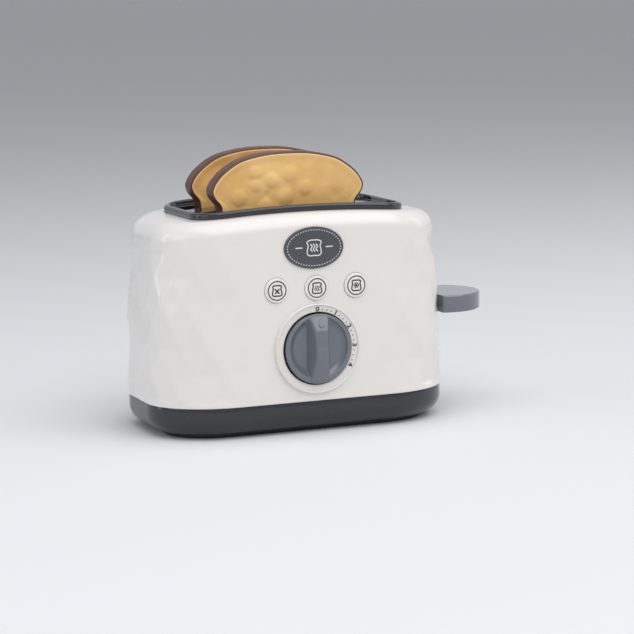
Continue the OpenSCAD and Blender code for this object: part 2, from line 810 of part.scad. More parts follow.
module dial_bezel() {
    ring_h = lip_h - 0.7;
    lip_w = 0.85;
    color(CREAM)
        on_front(0, dial_z)
            rotate_extrude($fn = large)
                polygon([
                    [spindle_d / 2 + touch, cup_floor - 1], [bezel_hole_r, cup_floor - 1],
                    [bezel_hole_r, 0], [bezel_r, 0], [bezel_r, lip_h - 0.5], [bezel_r - 0.25, lip_h - 0.1],
                    [bezel_r - lip_w / 2, lip_h], [bezel_r - lip_w, lip_h - 0.15],
                    [bezel_r - lip_w - 0.3, ring_h], [bezel_cup_r + 0.3, ring_h - 0.2],
                    [bezel_cup_r, ring_h - 0.5], [bezel_cup_r, cup_floor],
                    [spindle_d / 2 + touch, cup_floor]
                ]);
}

module dial_knob() {
    scoop_r = knob_r - 1.6;
    ball = (scoop_r * scoop_r + scoop * scoop) / (2 * scoop);
    // A waist of depth w over a half length l is cut by a cylinder of this radius.
    waist_l = knob_r - 3;
    waist_r = (waist_l * waist_l + grip_waist * grip_waist) / (2 * grip_waist);
    back = cup_floor + 0.4;
    color(GREY)
        on_front(0, dial_z)
            difference() {
                union() {
                    difference() {
                        rotate_extrude($fn = large)
                            polygon([[0, back], [knob_r - 0.3, back], [knob_r, back + 0.3],
                                [knob_r, knob_rim - 0.9], [knob_r - 0.3, knob_rim - 0.2],
                                [knob_r - 0.9, knob_rim], [0, knob_rim]]);
                        translate([0, 0, knob_rim - scoop + ball])
                            sphere(r = ball, $fn = 2 * large);
                    }
                    intersection() {
                        rotate_extrude($fn = large)
                            polygon(concat([[0, back + 0.5], [knob_r - 0.5, back + 0.5]],
                                [[knob_r - 0.5, knob_rim], [knob_r - 1.1, grip_h - 1.4]],
                                [for (a = [15 : 15 : 90]) [knob_r - 2.5 + 1.4 * cos(a),
                                    grip_h - 1.4 + 1.4 * sin(a)]],
                                [[0, grip_h]]));
                        difference() {
                            translate([-grip_w / 2, -knob_r, 0])
                                cube([grip_w, 2 * knob_r, grip_h + 1]);
                            for (x = [-1, 1])
                                translate([x * (grip_w / 2 - grip_waist + waist_r), 0, -1])
                                    cylinder(r = waist_r, h = grip_h + 3, $fn = 4 * large);
                        }
                    }
                    translate([0, knob_r - 5.4, grip_h - 0.5])
                        pointer_drop();
                }
                translate([0, 0, back - 1])
                    cylinder(d = spindle_d + 0.1, h = knob_rim - back + 1, $fn = fine);
            }
}

// The teardrop on the grip bar, its point outwards.
module pointer_drop() {
    r = 1.4;
    linear_extrude(0.8)
        union() {
            circle(r = r, $fn = fine);
            polygon([[-r * cos(25), r * sin(25)], [r * cos(25), r * sin(25)], [0, 2.6 * r]]);
        }
}

module timer_spindle() {
    color(STEEL)
        behind(0, dial_z, front - knob_rim + 0.2)
            cylinder(d = spindle_d, h = latch_y + latch_t + 0.2 - front + knob_rim - 0.2, $fn = fine);
}

module timer_case() {
    ear_y = inside + timer_boss;
    color(GREY)
        difference() {
            union() {
                behind(0, dial_z, case_y0)
                    cylinder(r = timer_r, h = case_y1 - case_y0, $fn = large);
                behind(governor_x, dial_z, case_y0)
                    cylinder(r = pocket_r + timer_wall, h = case_y1 - case_y0, $fn = fine);
                for (x = [-1, 1]) {
                    behind(x * ear_x, dial_z, ear_y)
                        cylinder(r = boss_r, h = ear_t, $fn = fine);
                    translate([min(x * ear_x, x * (timer_r - 1)), ear_y, dial_z - boss_r])
                        cube([ear_x - timer_r + 1, ear_t, 2 * boss_r]);
                }
            }
            behind(0, dial_z, case_y0 + timer_wall)
                cylinder(r = timer_r - timer_wall, h = case_y1 - case_y0, $fn = large);
            behind(governor_x, dial_z, case_y0 + timer_wall)
                cylinder(r = pocket_r, h = case_y1 - case_y0, $fn = fine);
            behind(0, dial_z, case_y0 - 1)
                cylinder(r = spindle_d / 2 + run, h = timer_wall + 2, $fn = fine);
            behind(governor_x, dial_z, case_y0 + 0.4)
                cylinder(r = arbor_r + run, h = timer_wall, $fn = fine);
            for (x = [-1, 1])
                behind(x * ear_x, dial_z, ear_y - 1)
                    cylinder(d = 2.2, h = ear_t + 2, $fn = fine);
        }
}

cover_screw_r = timer_r - 2.6;

module timer_cover() {
    color(STEEL)
        difference() {
            union() {
                behind(0, dial_z, case_y1)
                    cylinder(r = timer_r, h = cover_t, $fn = large);
                behind(governor_x, dial_z, case_y1)
                    cylinder(r = pocket_r + timer_wall, h = cover_t, $fn = fine);
            }
            behind(0, dial_z, case_y1 - 1)
                cylinder(r = spindle_d / 2 + run, h = cover_t + 2, $fn = fine);
            behind(governor_x, dial_z, case_y1 - 1)
                cylinder(r = arbor_r + run, h = cover_t + 2, $fn = fine);
            for (a = [75, 195, 285])
                behind(cover_screw_r * cos(a), dial_z + cover_screw_r * sin(a), case_y1 - 1)
                    cylinder(d = 1.7, h = cover_t + 2, $fn = fine);
        }
}

module timer_screws() {
    color(STEEL)
        for (a = [75, 195, 285])
            translate([cover_screw_r * cos(a), case_y1 + cover_t, dial_z + cover_screw_r * sin(a)])
                rotate([90, 0, 0])
                    screw(3, 0.4, 1.6, cover_t);
}

module inner_screws() {
    color(STEEL) {
        for (x = [-1, 1]) {
            translate([x * button_boss_x, inside + button_boss + frame_t, button_z])
                rotate([90, 0, 0])
                    screw(4, 1.4, 1.6, frame_t + button_boss - 0.5);
            translate([x * ear_x, inside + timer_boss + ear_t, dial_z])
                rotate([90, 0, 0])
                    screw(4, 1.4, 1.6, timer_boss + 1);
        }
        for (x = bracket_screw_x)
            translate([x, 0, floor_z + 2])
                rotate([180, 0, 0])
                    screw(4, 1.4, 1.6, 4);
    }
}

spring_y = case_y0 + timer_wall + 0.3;
spring_w = 3;                  // width of the mainspring's strip
wheel_y = spring_y + spring_w + 0.5;
wheel_t = 1.3;
hub_wall = 1.6;                // wall and reach of the wheel's hub

// A flat spiral strip round the spindle.
module mainspring() {
    turns = 4;
    steps = 18;
    strip = 0.5;
    r0 = spindle_d / 2 + 0.4;
    grow = (wheel_r + pinion_r - 2.6 - r0) / turns;
    function spiral(i, e) =
        let (a = 360 * i / steps, r = r0 + e + grow * i / steps) [r * cos(a), r * sin(a)];
    n = turns * steps;
    color(STEEL)
        behind(0, dial_z, spring_y)
            linear_extrude(spring_w)
                polygon(concat([for (i = [0 : n]) spiral(i, 0)], [for (i = [n : -1 : 0]) spiral(i, strip)]));
}

// A gear outline of z teeth whose sides are straight, with its first tooth at angle 0.
function gear_outline(z, clear) = [
    for (i = [0 : z - 1])
        let (
            a = 360 * i / z,
            r = gear_m * z / 2,
            p = 360 / z,
            root = r - 1.2 * gear_m,
            tip = r + 0.85 * gear_m,
            w = 0.19 - clear
        )
        each [
            root * [cos(a - p * 0.3), sin(a - p * 0.3)], tip * [cos(a - p * w / 2.2), sin(a - p * w / 2.2)],
            tip * [cos(a + p * w / 2.2), sin(a + p * w / 2.2)], root * [cos(a + p * 0.3), sin(a + p * 0.3)]
        ]
];

module main_wheel() {
    color("goldenrod")
        behind(0, dial_z, wheel_y)
            difference() {
                union() {
                    linear_extrude(wheel_t)
                        polygon(gear_outline(wheel_teeth, 0));
                    cylinder(r = spindle_d / 2 + hub_wall, h = wheel_t + hub_wall, $fn = fine);
                }
                translate([0, 0, -1])
                    cylinder(r = spindle_d / 2 + 0.02, h = wheel_t + 4, $fn = fine);
                for (a = [0 : 90 : 270])
                    rotate([0, 0, a + 45])
                        translate([wheel_r * 0.62, 0, -1])
                            cylinder(r = wheel_r * 0.17, h = wheel_t + 2, $fn = fine);
            }
}

module governor() {
    fly_y = wheel_y + wheel_t + 0.9;
    color("goldenrod") {
        behind(governor_x, dial_z, case_y0 + 0.5)
            cylinder(r = arbor_r, h = case_y1 + cover_t - 0.3 - case_y0 - 0.5, $fn = fine);
        behind(governor_x, dial_z, wheel_y - 0.2)
            rotate([0, 0, 180 / pinion_teeth])
                linear_extrude(wheel_t + 0.4)
                    polygon(gear_outline(pinion_teeth, 0.02));
        behind(governor_x, dial_z, fly_y)
            cylinder(r = fly_r, h = case_y1 - 0.4 - fly_y, $fn = fine);
    }
}

// Radius of the release cam at angle a from +X towards +Z.
function cam_at(a) =
    let (top = dial_turn + 15)
    a < 0 ? cam_r : a <= top ? cam_r + cam_rise * a / dial_turn
    : a < top + 60 ? cam_r + cam_rise * top / dial_turn * (1 + cos(180 * (a - top) / 60)) / 2 : cam_r;

module release_cam() {
    color(WHITE)
        translate([0, latch_y + latch_t, dial_z])
            rotate([90, 0, 0])
                linear_extrude(latch_t)
                    difference() {
                        polygon([for (a = [-60 : 7.5 : 292.5]) cam_at(a) * [cos(a), sin(a)]]);
                        circle(r = spindle_d / 2 + 0.02, $fn = fine);
                    }
}

// A straight bar with round ends from a to b.
module bar(a, b, r) {
    d = b - a;
    translate(a)
        rotate([0, 0, atan2(d[1], d[0])]) {
            translate([0, -r])
                square([norm(d), 2 * r]);
            circle(r = r, $fn = fine);
            translate([norm(d), 0])
                circle(r = r, $fn = fine);
        }
}

module latch() {
    tip_r = 2;
    tip = [cam_r + 0.4 + tip_r, dial_z];
    lug_top = lever_z + paddle_t - lever_travel;
    nose_z = lug_top + 2.8;    // comes down to 0.4 over the lug as the latch swings in
    stem_x = lug_x0 - 4.6;
    color(WHITE)
        translate([0, latch_y + latch_t, 0])
            rotate([90, 0, 0])
                linear_extrude(latch_t)
                    difference() {
                        union() {
                            bar(pivot, tip, tip_r);
                            bar(pivot, [stem_x, pivot[1] + 6], tip_r);
                            translate([stem_x - 2, pivot[1] + 6])
                                square([4, nose_z + 3 - pivot[1] - 6]);
                            polygon([[stem_x - 2, nose_z], [lug_x0 - 0.4, nose_z],
                                [lug_x0 - 0.4, nose_z + 1], [stem_x + 1.5, nose_z + 5],
                                [stem_x - 2, nose_z + 5]]);
                            translate(pivot)
                                circle(r = 4, $fn = fine);
                        }
                        translate(pivot)
                            circle(r = pin_r + 0.1, $fn = fine);
                    }
}

module latch_pin() {
    y0 = latch_y - 1.2;
    y1 = latch_y + latch_t + touch + 4;
    color(STEEL)
        behind(pivot[0], pivot[1], y0) {
            cylinder(r = pin_r, h = y1 - y0, $fn = fine);
            cylinder(r = pin_r + 1, h = 0.9, $fn = fine);
        }
}

// A leaf that stands in the bracket and bears on the latch's long arm from below.
module latch_spring() {
    x = pivot[0] + 8.4;
    arm_low = pivot[1] + 6 * (x - pivot[0]) / (lug_x0 - 4.6 - pivot[0]) - 2.2;
    color(STEEL)
        translate([x, latch_y + latch_t + touch + 2.4, floor_z + 2])
            union() {
                translate([-0.2, -0.8, 0])
                    cube([0.4, 2, arm_low - 2.4 - floor_z - 2]);
                translate([-0.2, -3.4, arm_low - 2.8 - floor_z - 2])
                    cube([0.4, 3, 2.2]);
            }
}

// ---- Buttons and badge --------------------------------------------------------------------

frame_t = 1.6;
frame_h = 12;
frame_end = boss_r + 1;        // reach of the frame past its screws
frame_y = inside + button_boss;
stem_r = 2.2;
flange_y = wall + flange_gap;  // depth of the flange's front behind the front's plane

module button_frame() {
    color(GREY)
        difference() {
            translate([-button_boss_x - frame_end, frame_y, button_z - frame_h / 2])
                cube([2 * (button_boss_x + frame_end), frame_t, frame_h]);
            for (i = [-1 : 1])
                behind(i * button_pitch, button_z, frame_y - 1)
                    cylinder(r = stem_r + 0.1, h = frame_t + 2, $fn = fine);
            for (x = [-1, 1])
                behind(x * button_boss_x, button_z, frame_y - 1)
                    cylinder(d = 2.2, h = frame_t + 2, $fn = fine);
        }
}

module button(i) {
    r = button_d / 2;
    edge = 0.7;
    stem_end = -(frame_y + frame_t + 0.8 - front);
    color(CREAM)
        on_front(i * button_pitch, button_z)
            rotate_extrude($fn = fine)
                polygon(concat(
                    [[0, stem_end], [stem_r, stem_end], [stem_r, -flange_y - flange_t],
                        [r + 0.8, -flange_y - flange_t], [r + 0.8, -flange_y], [r, -flange_y]],
                    [for (a = [0 : 15 : 90]) [r - edge + edge * cos(a), button_h - edge + edge * sin(a)]],
                    [[0, button_h]]));
}

module button_cancel() button(-1);
module button_reheat() button(0);
module button_defrost() button(1);

module button_spring(i) {
    y0 = front + flange_y + flange_t + 0.1;
    color(STEEL)
        behind(i * button_pitch, button_z, y0)
            coil(stem_r + 0.9, 0.5, frame_y - 0.1 - y0, 3);
}

module spring_cancel() button_spring(-1);
module spring_reheat() button_spring(0);
module spring_defrost() button_spring(1);

module badge() {
    color(CHARCOAL)
        on_front(badge_x, badge_z)
            for (s = [0, 1])
                linear_extrude(badge_t * (s == 0 ? 0.7 : 1))
                    polygon([for (a = [0 : 5 : 355])
                        [(badge_w / 2 - 0.3 * s) * cos(a), (badge_h / 2 - 0.3 * s) * sin(a)]]);
}

casing();
base();
base_screws();
top_trim();
slot_liner();
badge();
dial_bezel();
button_frame();
timer_case();
timer_cover();
timer_screws();
inner_screws();
mainspring();
guide_rods();
lift_bracket();
latch_pin();
latch_spring();
lift_spring_front();
lift_spring_rear();
carriage();
rod_bushes();
lever_knob();
lever_screw();
dial_knob();
timer_spindle();
main_wheel();
release_cam();
governor();
latch();
button_cancel();
button_reheat();
button_defrost();
spring_cancel();
spring_reheat();
spring_defrost();
bread_front_crust();
bread_front_crumb();
bread_rear_crust();
bread_rear_crumb();
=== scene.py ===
"""Looks of a toy pop-up toaster with a wind-up dial, a press-down lever and two lift-out slices."""
import math

import bmesh
import bpy
import numpy as np
from mathutils import Matrix, Vector, noise


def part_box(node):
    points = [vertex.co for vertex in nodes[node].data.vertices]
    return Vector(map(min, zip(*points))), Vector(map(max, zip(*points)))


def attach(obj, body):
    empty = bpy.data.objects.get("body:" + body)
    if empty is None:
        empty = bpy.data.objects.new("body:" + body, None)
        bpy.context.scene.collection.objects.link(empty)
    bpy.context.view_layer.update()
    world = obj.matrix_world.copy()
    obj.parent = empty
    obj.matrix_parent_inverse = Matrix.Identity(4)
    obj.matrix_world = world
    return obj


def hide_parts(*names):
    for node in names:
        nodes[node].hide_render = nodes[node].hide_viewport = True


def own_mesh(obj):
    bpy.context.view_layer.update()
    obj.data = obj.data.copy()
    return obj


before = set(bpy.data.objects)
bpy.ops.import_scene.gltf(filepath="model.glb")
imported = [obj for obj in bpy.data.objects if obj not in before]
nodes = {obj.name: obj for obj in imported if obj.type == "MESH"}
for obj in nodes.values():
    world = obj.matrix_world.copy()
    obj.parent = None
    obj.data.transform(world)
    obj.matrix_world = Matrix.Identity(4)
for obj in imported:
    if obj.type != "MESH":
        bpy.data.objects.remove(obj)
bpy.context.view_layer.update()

# ---- Studio -------------------------------------------------------------------------------
# A pale floor, two large soft lights in front and above, weaker cool ones at the sides and an even
# sky. The camera stands low and far off to the left, where the photograph was taken from.
MM = 0.001
CAMERA_AT = Vector((-417.5, -1055.4, 226.7)) * MM
AZIMUTH, ELEVATION, ROLL = (math.radians(a) for a in (-22.4, 8.81, -0.77))
FOCAL_PX, FRAME_PX, SENSOR = 2312, 634, 36
BODY_MIDDLE = Vector((0, 0, 60)) * MM
COOL = (0.84, 0.92, 1)
SKY_COLOUR, SKY_LIGHT, SKY_SEEN, SKY_MIRRORED = (0.93, 0.95, 1, 1), 0.36, 0.45, 0.66
FLOOR_SIZE, FLOOR_COLOUR, FLOOR_ROUGH = 80, (0.8, 0.81, 0.82, 1), 0.9

scene = bpy.context.scene
scene.view_settings.view_transform = "Standard"


def add(name, data):
    """A new object at the origin."""
    thing = bpy.data.objects.new(name, data)
    scene.collection.objects.link(thing)
    return thing


back = Vector((math.sin(AZIMUTH) * math.cos(ELEVATION), -math.cos(AZIMUTH) * math.cos(ELEVATION),
               math.sin(ELEVATION)))
level = (-back).cross(Vector((0, 0, 1))).normalized()
upright = level.cross(-back)
across = math.cos(ROLL) * level + math.sin(ROLL) * upright
upwards = math.cos(ROLL) * upright - math.sin(ROLL) * level
camera = add("camera", bpy.data.cameras.new("camera"))
facing = Matrix((across, upwards, back)).transposed().to_4x4()
camera.matrix_world = Matrix.Translation(CAMERA_AT) @ facing
camera.data.sensor_width = SENSOR
camera.data.lens = FOCAL_PX / FRAME_PX * SENSOR
scene.camera = camera


def softbox(name, at, wide, high, watts, rgb=(1, 1, 1)):
    """An oblong area light that faces the toaster."""
    lamp = bpy.data.lights.new(name, "AREA")
    lamp.shape, lamp.size, lamp.size_y = "RECTANGLE", wide, high
    lamp.energy, lamp.color = watts, rgb
    holder = add(name, lamp)
    holder.location = at
    holder.rotation_euler = (BODY_MIDDLE - Vector(at)).to_track_quat("-Z", "Y").to_euler()


softbox("key_light", (0.3, -1.05, 1.1), 2.2, 1, 11.3)
softbox("top_light", (0.05, -0.25, 1.3), 1.9, 1, 8.5)
softbox("left_light", (-1.25, -0.3, 0.5), 0.6, 0.8, 2, COOL)
softbox("edge_light", (-1.2, 0.35, 0.45), 0.2, 1, 1.5, COOL)
softbox("right_light", (1.15, -0.1, 0.45), 0.2, 0.8, 0.8, COOL)

world = bpy.data.worlds.new("studio")
world.use_nodes = True
scene.world = world
sky_nodes, sky_links = world.node_tree.nodes, world.node_tree.links
sky = sky_nodes["Background"]
sky.inputs["Color"].default_value = SKY_COLOUR
seen = sky_nodes.new("ShaderNodeLightPath")


def chosen(ray, otherwise, strength):
    """A strength for one kind of ray, and another, which may come from a node, for all the rest."""
    choice = sky_nodes.new("ShaderNodeMapRange")
    sky_links.new(seen.outputs[ray], choice.inputs["Value"])
    choice.inputs["To Max"].default_value = strength
    if isinstance(otherwise, float):
        choice.inputs["To Min"].default_value = otherwise
    else:
        sky_links.new(otherwise, choice.inputs["To Min"])
    return choice.outputs["Result"]


unmirrored = chosen("Is Camera Ray", SKY_LIGHT, SKY_SEEN)
sky_links.new(chosen("Is Glossy Ray", unmirrored, SKY_MIRRORED), sky.inputs["Strength"])

bpy.ops.mesh.primitive_grid_add(x_subdivisions=4, y_subdivisions=4, size=FLOOR_SIZE)
floor = bpy.context.object
floor.name = "floor"
paper = bpy.data.materials.new("paper_floor")
paper.use_nodes = True
paper.node_tree.nodes["Principled BSDF"].inputs["Base Color"].default_value = FLOOR_COLOUR
paper.node_tree.nodes["Principled BSDF"].inputs["Roughness"].default_value = FLOOR_ROUGH
floor.data.materials.append(paper)

# ---- Casing -------------------------------------------------------------------------------
# One glossy warm-white moulding, open below. It is crowned on top, and shallow triangular facets
# run round both ends, each with a soft edge. It drops over the base and is screwed from below.
HALF_W, HALF_D, CORNER_X, CORNER_Y = 77, 42, 37, 30
BASE_TOP, CASING_TOP, TOP_ROUND = 16, 107, 8
ROUND_Z = CASING_TOP - TOP_ROUND
TAPER, TAPER_POWER, CROWN_R, WALL = 3.8, 2.1, 600, 2.5
FACET, FACET_OUT, FACET_Z0, FACET_Z1 = 0.65, 0.55, 20, 94
FACET_ROWS, FACET_STEPS = 7, 8
GOLDEN_ANGLE, ROW_SHIFT, FIRST_ANGLE = 137.5, 11, 232
END, ARC, SIDE = 2, 8, 6       # columns along half an end, a corner and half a side
QUARTER = END + ARC + SIDE
COLUMNS = 4 * QUARTER
SUB = 4                        # fine columns between two facet corners
FINE = COLUMNS * SUB
FRONT = -HALF_D
DIAL_Z, DIAL_HOLE_R = 41.7, 19.5
BUTTON_Z, BUTTON_PITCH, BUTTON_R, BUTTON_PLAY = 71, 20.5, 6, 0.12
MOUTH_X, MOUTH_Y, MOUTH_R, MOUTH_Z0, MOUTH_Z1 = 53.8, 26.7, 7.2, 40, 120
SLIT_Z0, SLIT_Z1, SLIT_HALF, SLIT_DEEP = 31.3, 57.7, 1.6, 6
CREAM = (232, 227, 222)
TONE_SCALE, GLOSS_SCALE, SKIN_SCALE, SKIN_DEEP, COAT_ROUGH = 28, 90, 160, 0.0001, 0.06


def outline(k, hx, hy, rx, ry):
    """Points of a rounded rectangle at columns k, anticlockwise from the middle of its +X end."""
    k = np.asarray(k, float) % COLUMNS
    quarter = (k // QUARTER).astype(int)
    i = np.where(quarter % 2 == 0, k % QUARTER, QUARTER - k % QUARTER)
    a = np.radians(90 * (i - END) / ARC)
    on_end, on_arc = i <= END, i <= END + ARC
    x = np.where(on_arc, hx - rx + rx * np.cos(a), (hx - rx) * (QUARTER - i) / SIDE)
    y = np.where(on_arc, hy - ry + ry * np.sin(a), hy)
    x, y = np.where(on_end, hx, x), np.where(on_end, (hy - ry) * i / END, y)
    return np.stack([np.where((quarter == 0) | (quarter == 3), x, -x), np.where(quarter < 2, y, -y)], -1)


def crown_drop(x):
    """How far the crowned top lies below its middle at x."""
    return CROWN_R - np.sqrt(CROWN_R ** 2 - x ** 2)


def skin(k, z, out=0.0):
    """Points of the casing's skin at columns k and height z, moved out."""
    t = min(1, max(0, (z - BASE_TOP) / (ROUND_Z - BASE_TOP)))
    p = outline(k, HALF_W - TAPER * t ** TAPER_POWER + out, HALF_D + out, CORNER_X + out, CORNER_Y + out)
    return np.column_stack([p, z - crown_drop(p[:, 0]) * t])


def facet_relief(k, j):
    """How far facet corner k of row j stands out: scattered by a golden angle, none on the front."""
    quarter, i = divmod(k, QUARTER)
    i = i if quarter % 2 == 0 else QUARTER - i
    if i >= END + ARC:
        return 0
    angle = math.radians(GOLDEN_ANGLE * (k + ROW_SHIFT * j) + FIRST_ANGLE)
    return FACET_OUT - FACET * (1 - math.sin(angle))


def facet_row(j):
    """A row of facet corners. Every other one lies midway between its neighbours."""
    z = FACET_Z0 + j * (FACET_Z1 - FACET_Z0) / (FACET_ROWS - 1)
    row = np.array([skin([k], z, facet_relief(k, j))[0] for k in range(COLUMNS)])
    return np.array([row[k] if (k + j) % 2 == 0 else (row[k - 1] + row[(k + 1) % COLUMNS]) / 2
                     for k in range(COLUMNS)])


def between(low, high, j, v):
    """A fine ring at share v of the way up between two rows of facet corners."""
    c = np.arange(FINE)
    k, u = c // SUB, (c % SUB / SUB)[:, None]
    n = (k + 1) % COLUMNS
    a, b, top_a, top_b = low[k], low[n], high[k], high[n]
    even = ((k + j) % 2 == 0)[:, None]
    rising = np.where(v <= u, a + u * (b - a) + v * (top_b - b), a + v * (top_a - a) + u * (top_b - top_a))
    falling = np.where(u + v <= 1, a + u * (b - a) + v * (top_a - a),
                       top_b + (1 - u) * (top_a - top_b) + (1 - v) * (b - top_b))
    return np.where(even, rising, falling)


def arc(step, start=0, end=90):
    """The angles of a rounding, from degrees."""
    return np.radians(np.arange(start, end + 1, step))


def casing_rings():
    """The casing's rings, from its lower edge up the facets and round the shoulder."""
    k = np.arange(FINE) / SUB
    rows = [facet_row(j) for j in range(FACET_ROWS)]
    facets = []
    for j in range(FACET_ROWS - 1):
        facets += [between(rows[j], rows[j + 1], j, s / FACET_STEPS) for s in range(FACET_STEPS)]
    facets.append(between(rows[-1], rows[-1], FACET_ROWS - 1, 0))
    foot, shoulder = skin(k, BASE_TOP + 1.5), skin(k, ROUND_Z)
    rings = [skin(k, BASE_TOP, -0.25), skin(k, BASE_TOP + 0.3), foot, (foot + facets[0]) / 2, *facets]
    rings += [facets[-1] + (shoulder - facets[-1]) * s / 3 for s in (1, 2)]
    for a in arc(7.5):
        ring = skin(k, ROUND_Z, -TOP_ROUND * (1 - math.cos(a)))
        ring[:, 2] += TOP_ROUND * math.sin(a)
        rings.append(ring)
    return rings


def bands(n, rows, first=0, endless=False):
    """Four-cornered faces between rows of n points, and from the last row to the first if endless."""
    corners = [(0, 0), (0, 1), (1, 1), (1, 0)]
    return [[first + (j + up) % rows * n + (k + on) % n for up, on in corners]
            for j in range(rows if endless else rows - 1) for k in range(n)]


def strips(n, first):
    """Faces that close a ring of n points: strips along Y, and one face at each end."""
    e = END * SUB + 1
    faces = [[first + k % n for k in range(-e, e + 1)],
             [first + k for k in range(n // 2 - e, n // 2 + e + 1)]]
    faces += [[first + k, first + k + 1, first + n - k - 1, first + n - k] for k in range(e, n // 2 - e)]
    return faces


def solid(name, points, faces):
    """A mesh object of points in metres."""
    mesh = bpy.data.meshes.new(name)
    mesh.from_pydata(points, [], faces)
    return add(name, mesh)


def lofted(name, rings, flat=False, open_low=False):
    """A mesh object through rings in mm, lowest first and anticlockwise seen from above, which ends in
    strips or in one flat face, or is open below."""
    n = len(rings[0])
    last = n * (len(rings) - 1)
    low, high = [[list(range(first, first + n))] if flat else strips(n, first) for first in (0, last)]
    faces = bands(n, len(rings)) + [face[::-1] for face in low if not open_low] + high
    return solid(name, np.vstack(rings) * MM, faces)


def turned(name, profile, place, steps=128):
    """A closed solid turned from (radius, height) points in mm; the first and last lie on the axis."""
    points = [(0, 0, profile[0][1])]
    for r, h in profile[1:-1]:
        points += [(r * math.cos(a), r * math.sin(a), h) for a in np.arange(steps) * math.tau / steps]
    points.append((0, 0, profile[-1][1]))
    top = len(points) - 1
    faces = bands(steps, len(profile) - 2, first=1)
    faces += [(0, 1 + (k + 1) % steps, 1 + k) for k in range(steps)]
    faces += [(top, top - steps + k, top - steps + (k + 1) % steps) for k in range(steps)]
    return solid(name, [place @ Vector(p) * MM for p in points], faces)


def at_front(x, z):
    """Puts what is drawn along +Z on the casing's front, pointing out of it, in mm."""
    return Matrix.Translation((x, FRONT, z)) @ Matrix.Rotation(math.radians(90), 4, "X")


def settle(piece):
    """Turns a piece with its modifiers into a plain mesh."""
    done = bpy.data.meshes.new_from_object(piece.evaluated_get(bpy.context.evaluated_depsgraph_get()))
    piece.modifiers.clear()
    piece.data = done


def joined(name, pieces):
    """One object of several, which are used up."""
    whole = bmesh.new()
    for piece in pieces:
        whole.from_mesh(piece.data)
        bpy.data.objects.remove(piece)
    mesh = bpy.data.meshes.new(name)
    whole.to_mesh(mesh)
    return add(name, mesh)


def combine(piece, tool, how="DIFFERENCE"):
    """Cuts the tool out of the piece, or welds it on, and uses the tool up."""
    boolean = piece.modifiers.new("cut", "BOOLEAN")
    boolean.operation, boolean.object, boolean.solver = how, tool, "EXACT"
    settle(piece)
    bpy.data.objects.remove(tool)


def shaded(piece, material, angle=35):
    """Smooth shading, broken at sharp edges, and one finish."""
    piece.data.materials.clear()
    piece.data.materials.append(material)
    piece.data.shade_smooth()
    piece.data.set_sharp_from_angle(angle=math.radians(angle))
    return piece


class Finish:
    """A material in the making. Its patterns stay where they are on the object."""

    def __init__(self, name):
        self.material = bpy.data.materials.new(name)
        self.material.use_nodes = True
        self.make, self.link = self.material.node_tree.nodes.new, self.material.node_tree.links.new
        self.shader = self.material.node_tree.nodes["Principled BSDF"].inputs
        self.where = self.make("ShaderNodeTexCoord").outputs["Object"]

    def noise(self, scale, detail):
        """A cloudy pattern, its scale in clouds to the metre."""
        made = self.make("ShaderNodeTexNoise")
        made.inputs["Scale"].default_value, made.inputs["Detail"].default_value = scale, detail
        self.link(self.where, made.inputs["Vector"])
        return made.outputs["Fac"]

    def tones(self, pattern, stops):
        """Colours that run over a pattern through (position, colour) stops."""
        made = self.make("ShaderNodeValToRGB")
        for _ in stops[2:]:
            made.color_ramp.elements.new(1)
        for stop, (at, colour) in zip(made.color_ramp.elements, stops):
            stop.position, stop.color = at, colour
        self.link(pattern, made.inputs["Fac"])
        return made.outputs

    def gloss(self, pattern, low, high):
        """Roughness that runs over a pattern."""
        made = self.make("ShaderNodeMapRange")
        made.inputs["To Min"].default_value, made.inputs["To Max"].default_value = low, high
        self.link(pattern, made.inputs["Value"])
        self.link(made.outputs["Result"], self.shader["Roughness"])

    def relief(self, pattern, strength, deep):
        """A skin raised by a pattern."""
        made = self.make("ShaderNodeBump")
        made.inputs["Strength"].default_value, made.inputs["Distance"].default_value = strength, deep
        self.link(pattern, made.inputs["Height"])
        self.link(made.outputs["Normal"], self.shader["Normal"])


def paint(r, g, b):
    """A colour as it is mixed in a shader, from the 0 to 255 that a screen shows."""
    def lin(v):
        return v / 12.92 if v <= 0.04045 else ((v + 0.055) / 1.055) ** 2.4

    return (lin(r / 255), lin(g / 255), lin(b / 255), 1)


def tinted(rgb, factor):
    """A paint made lighter or darker."""
    return (*(min(1, c * factor) for c in paint(*rgb)[:3]), 1)


def moulded(name, rgb, rough, drift=0.03, wave=0.25, coat=0.0, spots=0.0):
    """Moulded plastic whose colour and gloss drift a little and whose skin is faintly wavy."""
    plastic = Finish(name)
    plastic.shader["Coat Weight"].default_value = coat
    plastic.shader["Coat Roughness"].default_value = COAT_ROUGH
    stops = [(0.3, tinted(rgb, 1 - drift)), (0.7, tinted(rgb, 1 + drift))]
    plastic.link(plastic.tones(plastic.noise(TONE_SCALE, 3), stops)["Color"], plastic.shader["Base Color"])
    plastic.gloss(plastic.noise(GLOSS_SCALE, 4), rough * 0.75, rough * 1.3)
    plastic.relief(plastic.noise(SKIN_SCALE, 2), wave, SKIN_DEEP + spots)
    return plastic.material


def block(name, hx, hy, r, z0, z1):
    """A rounded block, centred in plan."""
    plan = outline(np.arange(COLUMNS), hx, hy, r, r)
    return lofted(name, [np.column_stack([plan, np.full(COLUMNS, z)]) for z in (z0, z1)], flat=True)


def drill(name, r, edge, place):
    """A drill through the front wall that rounds the edge of its hole."""
    deep, proud = WALL + 1, 2
    profile = [(0, -deep), (r, -deep)]
    profile += [(r + edge * (1 - math.cos(a)), edge * (math.sin(a) - 1)) for a in arc(18)]
    return turned(name, profile + [(r + edge, proud), (0, proud)], place)


